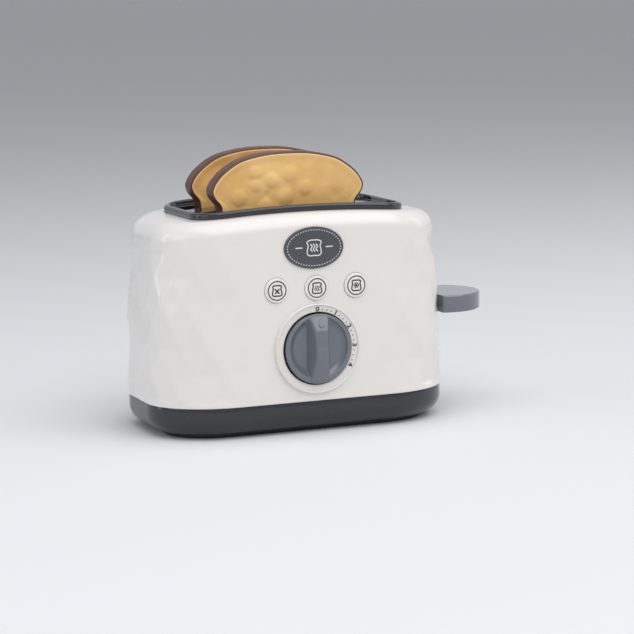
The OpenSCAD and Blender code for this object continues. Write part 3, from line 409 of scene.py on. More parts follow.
casing_cream = moulded("glossy_cream", CREAM, 0.2, drift=0.012, wave=0.16, coat=0.35)
casing = lofted("casing_shell", casing_rings(), open_low=True)
wall = casing.modifiers.new("wall", "SOLIDIFY")
wall.thickness, wall.offset, wall.use_even_offset = WALL * MM, -1, True
settle(casing)
mouth = block("mouth", MOUTH_X, MOUTH_Y, MOUTH_R, MOUTH_Z0, MOUTH_Z1)
slit = block("slit", SLIT_DEEP, SLIT_HALF, 0.3, SLIT_Z0, SLIT_Z1)
slit.data.transform(Matrix.Translation(((HALF_W - SLIT_DEEP / 2) * MM, 0, 0)))
dial_hole = drill("dial_hole", DIAL_HOLE_R, 0.1, at_front(0, DIAL_Z))
button_holes = [drill(f"hole_{i}", BUTTON_R + BUTTON_PLAY, 0.2, at_front(i * BUTTON_PITCH, BUTTON_Z))
                for i in (-1, 0, 1)]
combine(casing, joined("cuts", [mouth, slit, dial_hole, *button_holes]))
shaded(casing, casing_cream)
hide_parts("casing")
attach(casing, "frame")

# ---- Base ---------------------------------------------------------------------------------
# A charcoal tray that closes the casing from below. Its underside is rounded, it stands on a
# narrow rim, and a lip reaches up inside the casing. Four deep holes take the screws.
BASE_ROUND, BASE_STEP, FOOT_H, FOOT_W = 9, 0.3, 2, 2.6
LIP_GAP, LIP_W, LIP_RISE = 0.3, 1.7, 3.5
SCREW_X, SCREW_Y, SEAT_Z = 52, 22, 9
POST_R, BORE_R, SHANK_R = 4.6, 3.2, 1.6
CHARCOAL = (34, 35, 41)


def level_ring(inset, z):
    """A level ring of the casing's outline, moved in."""
    k = np.arange(FINE) / SUB
    plan = outline(k, HALF_W - inset, HALF_D - inset, CORNER_X - inset, CORNER_Y - inset)
    return np.column_stack([plan, np.full(FINE, z)])


foot_in = BASE_STEP + BASE_ROUND + 0.4
foot_out = foot_in + FOOT_W
lip_out, lip_in, lip_top = WALL + LIP_GAP, WALL + LIP_W, BASE_TOP + LIP_RISE
underside = [(foot_out + 0.4, FOOT_H), (foot_out, FOOT_H - 0.2), (foot_out - 0.1, 0.3), (foot_out - 0.4, 0),
             (foot_in + 0.4, 0), (foot_in + 0.1, 0.3), (foot_in, FOOT_H - 0.2)]
flank = [(BASE_STEP + BASE_ROUND * (1 - math.sin(a)), FOOT_H + BASE_ROUND * (1 - math.cos(a)))
         for a in arc(6)]
brim = [(BASE_STEP, BASE_TOP - 0.5), (BASE_STEP + 0.1, BASE_TOP - 0.15), (BASE_STEP + 0.35, BASE_TOP),
        (lip_out, BASE_TOP), (lip_out, lip_top - 0.2), (lip_out + 0.2, lip_top), (lip_in, lip_top)]
hollow = [(lip_in, 12), (lip_in + 0.4, 9), (BASE_ROUND + WALL / 2, 4.5)]
base = lofted("base_tray", [level_ring(*p) for p in underside + flank + brim + hollow])
charcoal_gloss = moulded("glossy_charcoal", CHARCOAL, 0.14, drift=0.05, wave=0.14, coat=0.3)
corners = [Matrix.Translation((x * SCREW_X, y * SCREW_Y, 0)) for x in (-1, 1) for y in (-1, 1)]
post = [(0, FOOT_H + 0.2), (POST_R, FOOT_H + 0.2), (POST_R, BASE_TOP - 0.4), (POST_R - 0.4, BASE_TOP),
        (0, BASE_TOP)]
bore = [(0, FOOT_H - 1), (BORE_R + 0.4, FOOT_H - 1), (BORE_R, FOOT_H + 0.4), (BORE_R, SEAT_Z),
        (SHANK_R, SEAT_Z), (SHANK_R, BASE_TOP + 1), (0, BASE_TOP + 1)]
combine(base, joined("posts", [turned("post", post, at, 48) for at in corners]), "UNION")
combine(base, joined("bores", [turned("bore", bore, at, 48) for at in corners]))
shaded(base, charcoal_gloss)
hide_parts("base")
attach(base, "frame")

# ---- Top trim -----------------------------------------------------------------------------
# A charcoal frame that lies on the crowned top, with a rounded bead along its edge and a lower
# panel between. Its plug fills the casing's mouth, and two slots with softened edges run through.
TRIM_X, TRIM_Y, TRIM_R = 55, 32.5, 15
PLUG_X, PLUG_Y, PLUG_R, PLUG_Z = 53.4, 26.3, 6.8, 102.5
BEAD, TRIM_SIDE = 1.5, 1.8
SLOT_X, SLOT_Y, SLOT_R, SLOT_AT, SLOT_SOFT = 52, 7, 4, 15.3, 0.5
PANEL = 1.15                   # height of the panel over the casing's top


def crowned_ring(hx, hy, r, rise):
    """A rounded rectangle that follows the crowned top, at a rise over it."""
    plan = outline(np.arange(FINE) / SUB, hx, hy, r, r)
    return np.column_stack([plan, CASING_TOP + rise - crown_drop(plan[:, 0])])


def trim_ring(inset, rise):
    """A ring of the trim's outline, moved in."""
    return crowned_ring(TRIM_X - inset, TRIM_Y - inset, TRIM_R - inset, rise)


def plug_ring(rise):
    """A ring of the plug's outline."""
    return crowned_ring(PLUG_X, PLUG_Y, PLUG_R, rise)


plug_foot = plug_ring(0)
plug_foot[:, 2] = PLUG_Z
edge_bead = [(BEAD * (1 - math.cos(a)), TRIM_SIDE + BEAD * math.sin(a)) for a in arc(12, end=180)]
panel_in = 2 * BEAD
rings = [plug_foot, plug_ring(-0.6), plug_ring(0.1), trim_ring(0.25, 0.1), trim_ring(0, 0.35)]
rings += [trim_ring(*p) for p in edge_bead[:-1]]
rings += [trim_ring(panel_in + inset, PANEL + rise)
          for inset, rise in ((0.02, 0.3), (0.15, 0.08), (0.4, 0))]
trim = lofted("trim_frame", rings)


def slot_cutter(side):
    """A plug of a slot's shape whose edge flares to the panel, so that the slot's rim is rounded."""
    profile = [(0, -20), (0, PANEL - SLOT_SOFT)]
    profile += [(-SLOT_SOFT * (1 - math.cos(a)), PANEL - SLOT_SOFT + SLOT_SOFT * math.sin(a))
                for a in arc(15, 15)]
    rings = [crowned_ring(SLOT_X - inset, SLOT_Y - inset, SLOT_R - inset, rise)
             for inset, rise in profile + [(-SLOT_SOFT, 9)]]
    for ring in rings:
        ring[:, 1] += side * SLOT_AT
    return lofted("slot_cutter", rings)


combine(trim, joined("slots", [slot_cutter(-1), slot_cutter(1)]))
shaded(trim, charcoal_gloss, 50)
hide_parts("top_trim")
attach(trim, "frame")

# ---- Badge --------------------------------------------------------------------------------
# A thin oval plate on the front, satin charcoal with a softened edge. A line of white dashes runs
# just inside it, and a plain slice of bread is printed in the middle.
BADGE_X, BADGE_Y, BADGE_T, BADGE_SOFT = 15.25, 10.1, 1, 0.35
BADGE_AT = at_front(-1.2, 90.5)
BADGE_GREY, WHITE = (74, 75, 80), (226, 226, 226)
MARK_STROKE, STITCH_IN = 0.55, 1.5
INK_RISE = 0.03                # how far a print stands over the face it is on
IN_MM = Matrix.Scale(MM, 4)


def oval_ring(inset, height, count=96):
    """A ring of the badge, moved in."""
    a = np.arange(count) * math.tau / count
    x, y = (BADGE_X - inset) * np.cos(a), (BADGE_Y - inset) * np.sin(a)
    return np.column_stack([x, y, np.full(count, height)])


def seat(piece, place):
    """Moves a piece that was made at the origin to its place in mm."""
    piece.data.transform(IN_MM @ place @ Matrix.Scale(1 / MM, 4))


def drawn(name, drawing, place):
    """A mesh object of a curve or a text, placed."""
    line = add(name, drawing)
    mesh = bpy.data.meshes.new_from_object(line.evaluated_get(bpy.context.evaluated_depsgraph_get()))
    bpy.data.objects.remove(line)
    mesh.transform(place)
    return add(name, mesh)


def ink(name, rgb):
    """Printed ink: satin, a little uneven."""
    return moulded(name, rgb, 0.35, drift=0.06, wave=0.1)


def printed(name, lines, width, place, material):
    """Thin raised lines of ink. Each is (points, closed, smooth), drawn in a plane and then placed."""
    drawing = bpy.data.curves.new(name, "CURVE")
    drawing.dimensions, drawing.use_fill_caps = "3D", True
    drawing.bevel_depth, drawing.bevel_resolution, drawing.resolution_u = width / 2, 2, 6
    for points, closed, smooth in lines:
        spline = drawing.splines.new("BEZIER")
        spline.bezier_points.add(len(points) - 1)
        spline.use_cyclic_u = closed
        for knot, (u, v) in zip(spline.bezier_points, points):
            knot.co = (u, v, 0)
            knot.handle_left_type = knot.handle_right_type = "AUTO" if smooth else "VECTOR"
    flat = Matrix.Diagonal((1, 1, 2 * INK_RISE / width, 1))
    return shaded(drawn(name, drawing, IN_MM @ place @ flat), material)


def straight(*points):
    """A line from point to point, for printed."""
    return points, False, False


def heat(apart, sway, rate, low, high):
    """Three upright waves, for printed."""
    return [([(x + sway * math.sin(rate * v), v) for v in np.linspace(low, high, 9)], False, True)
            for x in (-apart, 0, apart)]


def with_left_half(right_half):
    """A closed smooth line, for printed, from its right half."""
    return right_half + [(-u, v) for u, v in right_half[-2:0:-1]], True, True


plate = [oval_ring(0, 0), oval_ring(0, BADGE_T - BADGE_SOFT)]
plate += [oval_ring(BADGE_SOFT * (1 - math.cos(a)), BADGE_T - BADGE_SOFT + BADGE_SOFT * math.sin(a))
          for a in arc(15, 15)]
badge = lofted("badge_plate", plate, flat=True)
seat(badge, BADGE_AT)
shaded(badge, moulded("satin_charcoal", BADGE_GREY, 0.3, drift=0.05, wave=0.2))
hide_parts("badge")
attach(badge, "frame")

white_ink = ink("white_ink", WHITE)
slice_mark = with_left_half([(0, -3.7), (2.6, -3.65), (3.5, -2.8), (3.4, -0.5), (3.1, 1.2), (3.65, 2.7),
                             (2.1, 3.6), (0, 3.7)])
rules = [straight((s * 6, 0.2), (s * 9.6, 0.2)) for s in (-1, 1)]
mark = printed("badge_mark", [slice_mark, *heat(1.4, 0.4, 2.6, -1.9, 2), *rules], MARK_STROKE,
               BADGE_AT @ Matrix.Translation((0, 0, BADGE_T)), white_ink)
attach(mark, "frame")


def tree_with(name, **inputs):
    """A geometry tree with named number inputs, its input node and its output."""
    tree = bpy.data.node_groups.new(name, "GeometryNodeTree")
    tree.interface.new_socket("Geometry", in_out="OUTPUT", socket_type="NodeSocketGeometry")
    for label, value in inputs.items():
        kind = "NodeSocketInt" if isinstance(value, int) else "NodeSocketFloat"
        tree.interface.new_socket(label, in_out="INPUT", socket_type=kind).default_value = value
    given, out = tree.nodes.new("NodeGroupInput").outputs, tree.nodes.new("NodeGroupOutput").inputs
    return tree, given, out["Geometry"]


def repeat(tree, out, material, **sources):
    """Ends a tree with one copy of a shape at each point, made real and given its ink."""
    make, link = tree.nodes.new, tree.links.new
    put = make("GeometryNodeInstanceOnPoints")
    for label, source in sources.items():
        link(source, put.inputs[label])
    real, painted = make("GeometryNodeRealizeInstances"), make("GeometryNodeSetMaterial")
    painted.inputs["Material"].default_value = material
    link(put.outputs["Instances"], real.inputs["Geometry"])
    link(real.outputs["Geometry"], painted.inputs["Geometry"])
    link(painted.outputs["Geometry"], out)


def stitches():
    """Dashes set evenly along an oval."""
    sizes = dict(Half_Width=1.0, Half_Height=1.0, Count=10, Dash=1.0, Thick=1.0, Rise=1.0)
    tree, given, out = tree_with("stitches", **sizes)
    make, link = tree.nodes.new, tree.links.new
    circle = make("GeometryNodeCurvePrimitiveCircle")
    circle.inputs["Resolution"].default_value = 128
    circle.inputs["Radius"].default_value = 1
    size = make("ShaderNodeCombineXYZ")
    link(given["Half_Width"], size.inputs["X"])
    link(given["Half_Height"], size.inputs["Y"])
    size.inputs["Z"].default_value = 1
    oval = make("GeometryNodeTransform")
    link(circle.outputs["Curve"], oval.inputs["Geometry"])
    link(size.outputs[0], oval.inputs["Scale"])
    spots = make("GeometryNodeCurveToPoints")
    link(oval.outputs["Geometry"], spots.inputs["Curve"])
    link(given["Count"], spots.inputs["Count"])
    shape = make("ShaderNodeCombineXYZ")
    for axis, label in zip("XYZ", ("Thick", "Rise", "Dash")):
        link(given[label], shape.inputs[axis])
    dash = make("GeometryNodeMeshCube")
    link(shape.outputs[0], dash.inputs["Size"])
    repeat(tree, out, white_ink, Points=spots.outputs["Points"], Instance=dash.outputs["Mesh"],
           Rotation=spots.outputs["Rotation"])
    return tree


def grown(name, tree, place, **settings):
    """A plain mesh made by a geometry tree with these inputs, then placed."""
    seed = add(name, bpy.data.meshes.new(name))
    maker = seed.modifiers.new("maker", "NODES")
    maker.node_group = tree
    for item in tree.interface.items_tree:
        if item.in_out == "INPUT" and item.name in settings:
            maker[item.identifier] = settings[item.name]
    settle(seed)
    seed.data.transform(place)
    return seed


dashes = grown("badge_stitches", stitches(), IN_MM @ BADGE_AT @ Matrix.Translation((0, 0, BADGE_T)),
               Half_Width=BADGE_X - STITCH_IN, Half_Height=BADGE_Y - STITCH_IN, Count=52,
               Dash=0.62, Thick=0.38, Rise=2 * INK_RISE)
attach(dashes, "frame")

# ---- Buttons ------------------------------------------------------------------------------
# Three round caps of the casing's plastic, each on its own stem behind the front. A dark ring and
# a pictogram of a slice are printed on each: a cross, three waves of heat and a snow crystal.
BUTTON_H, BUTTON_EDGE = 1, 0.75
STEM_END, STEM_R, FLANGE_R, FLANGE_Z0, FLANGE_Z1 = -14.6, 2.2, 6.8, -3.8, -2.8
RING_R, RING_STROKE, SLICE_STROKE = 4.5, 0.6, 0.72
dark_ink = ink("dark_ink", (56, 54, 58))
button_cream = moulded("button_cream", CREAM, 0.2, drift=0.012, wave=0.12, coat=0.25)
cap_profile = [(0, STEM_END), (STEM_R, STEM_END), (STEM_R, FLANGE_Z0), (FLANGE_R, FLANGE_Z0),
               (FLANGE_R, FLANGE_Z1), (BUTTON_R, FLANGE_Z1)]
cap_profile += [(BUTTON_R - BUTTON_EDGE * (1 - math.cos(a)), BUTTON_H - BUTTON_EDGE * (1 - math.sin(a)))
                for a in arc(10)]
cap_profile += [(4, BUTTON_H), (0, BUTTON_H)]
ring_knots = [(RING_R * math.cos(a), RING_R * math.sin(a)) for a in np.arange(16) * math.tau / 16]
slice_line = with_left_half([(0, -2.5), (1.7, -2.48), (2.3, -1.95), (2.35, -1), (2.1, 0.1), (1.95, 0.9),
                             (2.15, 1.5), (2.05, 2.15), (1.2, 2.45), (0, 2.45)])


def spoke(turn):
    """One arm of a snow crystal with its two barbs."""
    def at(u, v):
        return (u * math.cos(turn) - v * math.sin(turn), u * math.sin(turn) + v * math.cos(turn))

    return [straight(at(0, 0), at(1.4, 0)), straight(at(1.35, 0.42), at(0.9, 0), at(1.35, -0.42))]


cross = [straight((-1.15, -1.5), (1.15, 0.85)), straight((-1.15, 0.85), (1.15, -1.5))]
waves = heat(0.9, 0.2, 3.2, -1.5, 1.1)
crystal = sum((spoke(a * math.tau / 6) for a in range(6)), [])
PICTOGRAMS = {"cancel": (cross, 0.8), "reheat": (waves, 0.5), "defrost": (crystal, 0.5)}
for i, (task, (drawing, stroke)) in enumerate(PICTOGRAMS.items()):
    where = at_front((i - 1) * BUTTON_PITCH, BUTTON_Z)
    cap = shaded(turned(f"cap_{task}", cap_profile, where, 96), button_cream)
    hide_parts(f"button_{task}")
    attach(cap, f"button_{task}")
    face = where @ Matrix.Translation((0, 0, BUTTON_H))
    ring = printed(f"ring_{task}", [(ring_knots, True, True)], RING_STROKE, face, dark_ink)
    bread = printed(f"slice_{task}", [slice_line], SLICE_STROKE, face, dark_ink)
    lines = printed(f"lines_{task}", drawing, stroke, face, dark_ink)
    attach(shaded(joined(f"print_{task}", [ring, bread, lines]), dark_ink), f"button_{task}")

# ---- Dial bezel ---------------------------------------------------------------------------
# A round dish let into the front, in the casing's plastic, with a raised lip. The numbers 0 to 4
# and three dots between each two are printed on its ring, and the knob turns in its cup. The cup's
# wall and floor are painted dark, as painted shade of the deep gap round the knob.
CUP_FLOOR, CUP_R, BEZEL_R, RING_H, LIP_H, LIP_WIDE = -1.3, 17.7, 21.75, 1.2, 1.9, 0.85
BACK_R, SPINDLE_HOLE = 19.2, 2.8
DIGIT_R, DIGIT_TURN, DIGIT_SIZE, DIGIT_BOLD, DIGIT_WIDE = 19.1, 29.6, 3, 0.07, 1.3
DOT_R, DOTS_TO_DIGIT = 0.28, 4
DIAL_AT = at_front(0, DIAL_Z)
inner_lip = BEZEL_R - LIP_WIDE
bezel_profile = [
    (0, CUP_FLOOR - 1), (BACK_R, CUP_FLOOR - 1), (BACK_R, 0), (BEZEL_R, 0), (BEZEL_R, LIP_H - 0.45),
    (BEZEL_R - 0.06, LIP_H - 0.2), (BEZEL_R - 0.2, LIP_H - 0.05), (BEZEL_R - LIP_WIDE / 2, LIP_H),
    (inner_lip + 0.12, LIP_H - 0.1), (inner_lip - 0.05, LIP_H - 0.3), (inner_lip - 0.3, RING_H),
    (CUP_R + 0.5, RING_H - 0.16), (CUP_R + 0.22, RING_H - 0.2), (CUP_R + 0.07, RING_H - 0.3),
    (CUP_R, RING_H - 0.5), (CUP_R, CUP_FLOOR), (SPINDLE_HOLE, CUP_FLOOR), (0, CUP_FLOOR)]
bezel = shaded(turned("bezel_dish", bezel_profile, DIAL_AT, 192), casing_cream)
# Dark plastic for the hidden mouldings. It also serves as painted shade in the dial's cup and down the
# wells.
dark_inner_and_painted_shade = moulded("dark_moulding_and_painted_shade", (34, 35, 38), 0.5, drift=0.06, wave=0.3)
bezel.data.materials.append(dark_inner_and_painted_shade)
# Painted shade: the cup's wall and floor take the dark finish, standing in for the shadow in the gap round
# the knob.
for face in bezel.data.polygons:
    x, y, z = face.center / MM
    if math.hypot(x, z - DIAL_Z) < CUP_R + 0.02 and CUP_FLOOR - 0.5 < FRONT - y < RING_H - 0.3:
        face.material_index = 1
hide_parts("dial_bezel")
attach(bezel, "frame")


def digit(n):
    """A printed number on the ring, its foot towards the dial's middle."""
    text = bpy.data.curves.new(f"digit_{n}", "FONT")
    text.body, text.size, text.align_x, text.align_y = str(n), DIGIT_SIZE, "CENTER", "CENTER"
    text.extrude, text.offset = 2 * INK_RISE, DIGIT_BOLD
    turn = Matrix.Rotation(math.radians(-DIGIT_TURN * n), 4, "Z")
    place = DIAL_AT @ turn @ Matrix.Translation((0, DIGIT_R, RING_H))
    return drawn(f"digit_{n}", text, IN_MM @ place @ Matrix.Diagonal((DIGIT_WIDE, 1, 1, 1)))


numbers = shaded(joined("dial_numbers", [digit(n) for n in range(5)]), dark_ink)
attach(numbers, "frame")


def scale_dots():
    """Round dots on an arc, apart from every fourth, where a number stands."""
    tree, given, out = tree_with("scale_dots", Steps=16, Pitch=0.1, Radius=1.0, Dot=0.1, Rise=0.1)
    make, link = tree.nodes.new, tree.links.new

    def maths(operation, *values):
        made = make("ShaderNodeMath")
        made.operation = operation
        for socket, value in zip(made.inputs, values):
            if isinstance(value, (int, float)):
                socket.default_value = value
            else:
                link(value, socket)
        return made.outputs[0]

    index = make("GeometryNodeInputIndex").outputs[0]
    turn = maths("MULTIPLY", index, given["Pitch"])
    place = make("ShaderNodeCombineXYZ")
    link(maths("MULTIPLY", given["Radius"], maths("SINE", turn)), place.inputs["X"])
    link(maths("MULTIPLY", given["Radius"], maths("COSINE", turn)), place.inputs["Y"])
    spots = make("GeometryNodePoints")
    link(given["Steps"], spots.inputs["Count"])
    link(place.outputs[0], spots.inputs["Position"])
    dot = make("GeometryNodeMeshCylinder")
    dot.inputs["Vertices"].default_value = 12
    link(given["Dot"], dot.inputs["Radius"])
    link(given["Rise"], dot.inputs["Depth"])
    repeat(tree, out, dark_ink, Points=spots.outputs[0], Instance=dot.outputs["Mesh"],
           Selection=maths("GREATER_THAN", maths("MODULO", index, DOTS_TO_DIGIT), 0.5))
    return tree


dots = grown("dial_dots", scale_dots(), IN_MM @ DIAL_AT @ Matrix.Translation((0, 0, RING_H - 0.04)),
             Steps=4 * DOTS_TO_DIGIT, Pitch=math.radians(DIGIT_TURN / DOTS_TO_DIGIT), Radius=DIGIT_R - 0.1,
             Dot=DOT_R, Rise=2 * INK_RISE + 0.1)
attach(dots, "frame")

# ---- Dial knob ----------------------------------------------------------------------------
# A glossy grey knob in one moulding: a round rim, a dished scoop on each side, and an arched grip
# bar with sloped flanks that is waisted along its length. A raised teardrop points to the number.
KNOB_R, KNOB_BACK, KNOB_RIM, RIM_W, KNOB_EDGE = 17, -0.9, 3, 2, 0.7
SCOOP, SCOOP_RUN, SCOOP_UP, SCOOP_BLEND = 2, 3.2, 0.7, 0.5
BAR_TOP, BAR_LONG, BAR_HALF, BAR_WAIST, BAR_BLEND, FLANK = 8.3, 17, 4.1, 1.5, 1.3, 2.2
DROP_R, DROP_LONG, DROP_SLIM, DROP_AT, DROP_RISE, DROP_EDGE = 1.4, 2.4, 0.42, 12.1, 0.4, 0.35
SPINDLE_R, SPINDLE_END = 2.55, 0.7
KNOB_SIDES, FACE_RINGS = 480, 90
control_grey = moulded("control_grey", (104, 109, 118), 0.14, drift=0.04, wave=0.12, coat=0.6)


def soft_min(a, b, k):
    """The lower of two heights, their meeting rounded over k."""
    share = np.clip(0.5 + 0.5 * (b - a) / k, 0, 1)
    return b + (a - b) * share - k * share * (1 - share)


def knob_height(u, v):
    """Height of the knob's face over the casing's front, in mm."""
    depth = np.clip((KNOB_R - RIM_W - np.hypot(u, v - SCOOP_UP)) / SCOOP_RUN, 0, 1)
    dish = KNOB_RIM - SCOOP * (1 - (1 - depth) ** 2)
    crest = KNOB_RIM + (BAR_TOP - KNOB_RIM) * (1 - (v / BAR_LONG) ** 2)
    half = BAR_HALF - BAR_WAIST * (1 - np.clip(v / (KNOB_R - 3), -1, 1) ** 2)
    bar = soft_min(crest, crest - FLANK * (np.abs(u) - half), BAR_BLEND)
    height = -soft_min(-dish, -bar, SCOOP_BLEND)
    w = v - DROP_AT
    inside = np.where(w > 0, (DROP_R * DROP_LONG - w) * DROP_SLIM - np.abs(u), DROP_R - np.hypot(u, w))
    height = height + DROP_RISE * np.clip(inside / DROP_EDGE, 0, 1)
    edge = np.clip((np.hypot(u, v) - KNOB_R + KNOB_EDGE) / KNOB_EDGE, 0, 1)
    rounded = KNOB_RIM - KNOB_EDGE * (1 - np.sqrt(1 - edge ** 2))
    return np.where(edge > 0, np.minimum(height, rounded), height)


around = np.arange(KNOB_SIDES) * math.tau / KNOB_SIDES


def knob_ring(r, height=None):
    """A ring of the knob, level at a height or on its face."""
    u, v = r * np.cos(around), r * np.sin(around)
    return np.column_stack([u, v, knob_height(u, v) if height is None else np.full(KNOB_SIDES, height)])


radii = np.concatenate([np.linspace(0.03, 1, FACE_RINGS)[:-1] * (KNOB_R - KNOB_EDGE),
                        KNOB_R - KNOB_EDGE + KNOB_EDGE * np.sin(arc(15))])
rings = [knob_ring(KNOB_R - 0.3, KNOB_BACK), knob_ring(KNOB_R, KNOB_BACK + 0.3)]
rings += [knob_ring(r) for r in radii[::-1]]
knob = lofted("knob_grip", rings, flat=True)
seat(knob, DIAL_AT)
spindle_hole = [(0, -3), (SPINDLE_R, -3), (SPINDLE_R, SPINDLE_END), (0, SPINDLE_END)]
combine(knob, turned("spindle_hole", spindle_hole, DIAL_AT, 48))
shaded(knob, control_grey, 60)
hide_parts("dial_knob")
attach(knob, "dial")

# ---- Lever paddle -------------------------------------------------------------------------
# A thick half-round paddle on the end of the carriage's tongue, held by a screw from below. It is
# the CAD node itself, in the knob's grey.
shaded(nodes["lever_knob"], control_grey, 30)

# ---- Bread --------------------------------------------------------------------------------
# Two slices moulded in golden plastic with a darker band round the edge. The faces are softly
# domed and dented like real crumb, and the crust has a rounded, slightly uneven edge. Just inside
# the crust the face has a brown line and then a pale one, a painted highlight on its rounded rim.
SLICE_X, SLICE_TOP, SLICE_H, SLICE_AT, RIM_POINTS = -4.5, 135, 72, 15.3, 288
CRUMB_HALF, CRUST_HALF, CRUST_W, CRUST_EDGE, FOOT_R = 4.75, 4.25, 0.8, 0.9, 5
LOBE = [(0, 0), (12, -0.6), (24, -3.2), (31.4, -7.2), (36.8, -12), (39.6, -17.1), (38.6, -21.2),
        (35.6, -25), (35.1, -29)]
FACE_SUNK, FACE_SLOPE, FACE_ROUND, ROUND_W = 0.8, 4, 0.5, 0.9
SWELL, SWELL_RATE, PEBBLE, PEBBLE_H, PEBBLE_FADE, DOME, DENT = 0.3, 0.09, 8.5, 0.35, 7, 0.75, 0.35
DOMES = [(-17, 62.4, 3.7), (-16.8, 56.4, 3.6), (-8.2, 58.2, 4.2), (-12, 45.6, 4.4), (-25.5, 50.5, 4.4),
         (-1.5, 50, 4.6), (1, 61, 4.4), (9, 54, 4)]
DENTS = [(-10.9, 51.5, 2.6), (18, 58, 4.5), (25, 50, 4)]
ROUGH, ROUGH_RATE = 0.16, 0.35
GOLDEN_DARK, GOLDEN_LIGHT = (226, 172, 100), (240, 198, 128)
PATCH_SCALE, PORE_SCALE, PORE_DEEP, CRUMB_GLOSS = 75, 700, 0.0003, 0.42
# Colours by inset from the crust: a brown line, then a pale painted highlight on the rounded rim, then
# none.
RIM_LINE_AND_PAINTED_HIGHLIGHT = [(0, (170, 84, 44), 1), (0.14, (214, 136, 70), 1), (0.32, (246, 214, 158), 0.85),
             (0.7, (240, 196, 124), 0)]


def slice_outline():
    """Points of a slice, evenly spaced and anticlockwise seen from the front: x, and z from its top."""
    knots = [(-12, -0.6), *LOBE, (35.1, -35)]
    right_half = []
    for a, b, c, d in zip(knots, knots[1:], knots[2:], knots[3:]):
        a, b, c, d = map(np.array, (a, b, c, d))
        for t in np.arange(0, 1, 0.125):
            right_half.append((2 * b + (c - a) * t + (2 * a - 5 * b + 4 * c - d) * t ** 2
                               + (3 * b - a - 3 * c + d) * t ** 3) / 2)
    right_half.append(np.array(LOBE[-1]))
    foot_x, foot_z = LOBE[-1][0] - FOOT_R, -SLICE_H + FOOT_R
    for a in np.radians(np.arange(0, -91, -10)):
        right_half.append(np.array([foot_x + FOOT_R * math.cos(a), foot_z + FOOT_R * math.sin(a)]))
    whole = np.array(right_half + [p * (-1, 1) for p in right_half[:0:-1]])[::-1]
    closed = np.vstack([whole, whole[:1]])
    run = np.concatenate([[0], np.cumsum(np.linalg.norm(np.diff(closed, axis=0), axis=1))])
    at = np.linspace(0, run[-1], RIM_POINTS, endpoint=False)
    return np.column_stack([np.interp(at, run, closed[:, i]) for i in (0, 1)])


def inwards(points, d):
    """A closed anticlockwise outline moved in by d."""
    t = np.roll(points, -1, 0) - np.roll(points, 1, 0)
    t /= np.linalg.norm(t, axis=1)[:, None]
    return points + d * np.column_stack([-t[:, 1], t[:, 0]])


def bump(x, z, u, v, r):
    """A round swelling of radius r at u, v: 1 in its middle, and 0 from its edge outwards."""
    return max(0, 1 - ((x - u) ** 2 + (z - v) ** 2) / r ** 2)


def crumb_height(x, z, edge, face):
    """How far a crumb face stands out at x, z over the shelf, edge mm in from the crust."""
    rounding = FACE_ROUND * (1 - min(1, edge / ROUND_W)) ** 2
    swell = SWELL * noise.noise(Vector((x * SWELL_RATE, face * 9, z * SWELL_RATE)))
    near = noise.voronoi(Vector((x / PEBBLE, face * 0.6, z / PEBBLE)))[0][0]
    pebbles = PEBBLE_H * near ** 2 / (1 + math.exp(x * face / PEBBLE_FADE))
    raised = DOME * max(bump(x * face, z, *dome) for dome in DOMES)
    raised -= DENT * sum(bump(x * face, z, *dent) ** 2 for dent in DENTS)
    return CRUMB_HALF - 0.2 - rounding + min(1, edge / FACE_SLOPE) * (swell - FACE_SUNK - pebbles + raised)


def crumb_face(rim, face):
    """Rings of one face from the rim to the middle: x, z, height and distance from the rim."""
    middle = np.array([0, -SLICE_H * 0.48])
    rings = []
    for share in np.linspace(1, 0.015, 56):
        ring = middle + (rim - middle) * share
        edge = np.linalg.norm(rim - middle, axis=1) * (1 - share)
        height = [crumb_height(x, z + SLICE_H, e, face) for (x, z), e in zip(ring, edge)]
        rings.append(np.column_stack([ring, height, edge]))
    return rings


def faced_out(piece):
    """Turns the faces of a closed piece outwards."""
    whole = bmesh.new()
    whole.from_mesh(piece.data)
    bmesh.ops.recalc_face_normals(whole, faces=whole.faces)
    whole.to_mesh(piece.data)
    return piece


def crumb(name, y):
    """A closed crumb: both faces from their rims inwards, joined round the edge."""
    rim = inwards(slice_outline(), CRUST_W - 0.1)
    front, rear = crumb_face(rim, 1), crumb_face(rim, -1)
    rings, insets = [], []
    for face, side in [*[(ring, -1) for ring in front[::-1]], *[(ring, 1) for ring in rear]]:
        x, z, height, edge = face.T
        rings.append(np.column_stack([SLICE_X + x, y + side * height, SLICE_TOP + z]))
        insets += [min(1, e / 2) for e in edge]
    piece = lofted(name, rings, flat=True)
    piece.data.attributes.new("inset", "FLOAT", "POINT").data.foreach_set("value", insets)
    return faced_out(piece)


def crust(name, y):
    """The band round the crumb: a rounded section swept along the outline."""
    rim = slice_outline()
    section = [(CRUST_W + 0.3, -CRUST_HALF + 0.1), (CRUST_EDGE, -CRUST_HALF)]
    section += [(CRUST_EDGE * (1 - math.sin(a)), -CRUST_HALF + CRUST_EDGE * (1 - math.cos(a)))
                for a in arc(20, 20, 80)]
    section += [(0, -CRUST_HALF + 1.2), (0, 0)]
    section += [(d, -h) for d, h in section[-2::-1]]
    points = []
    for d, h in section:
        for x, z in inwards(rim, d):
            rough = ROUGH * abs(noise.noise(Vector((x * ROUGH_RATE, h * 0.5 + y, z * ROUGH_RATE))))
            points.append((SLICE_X + x * (1 - rough / 40), y + h, SLICE_TOP + z - rough))
    return faced_out(solid(name, np.array(points) * MM, bands(RIM_POINTS, len(section), endless=True)))


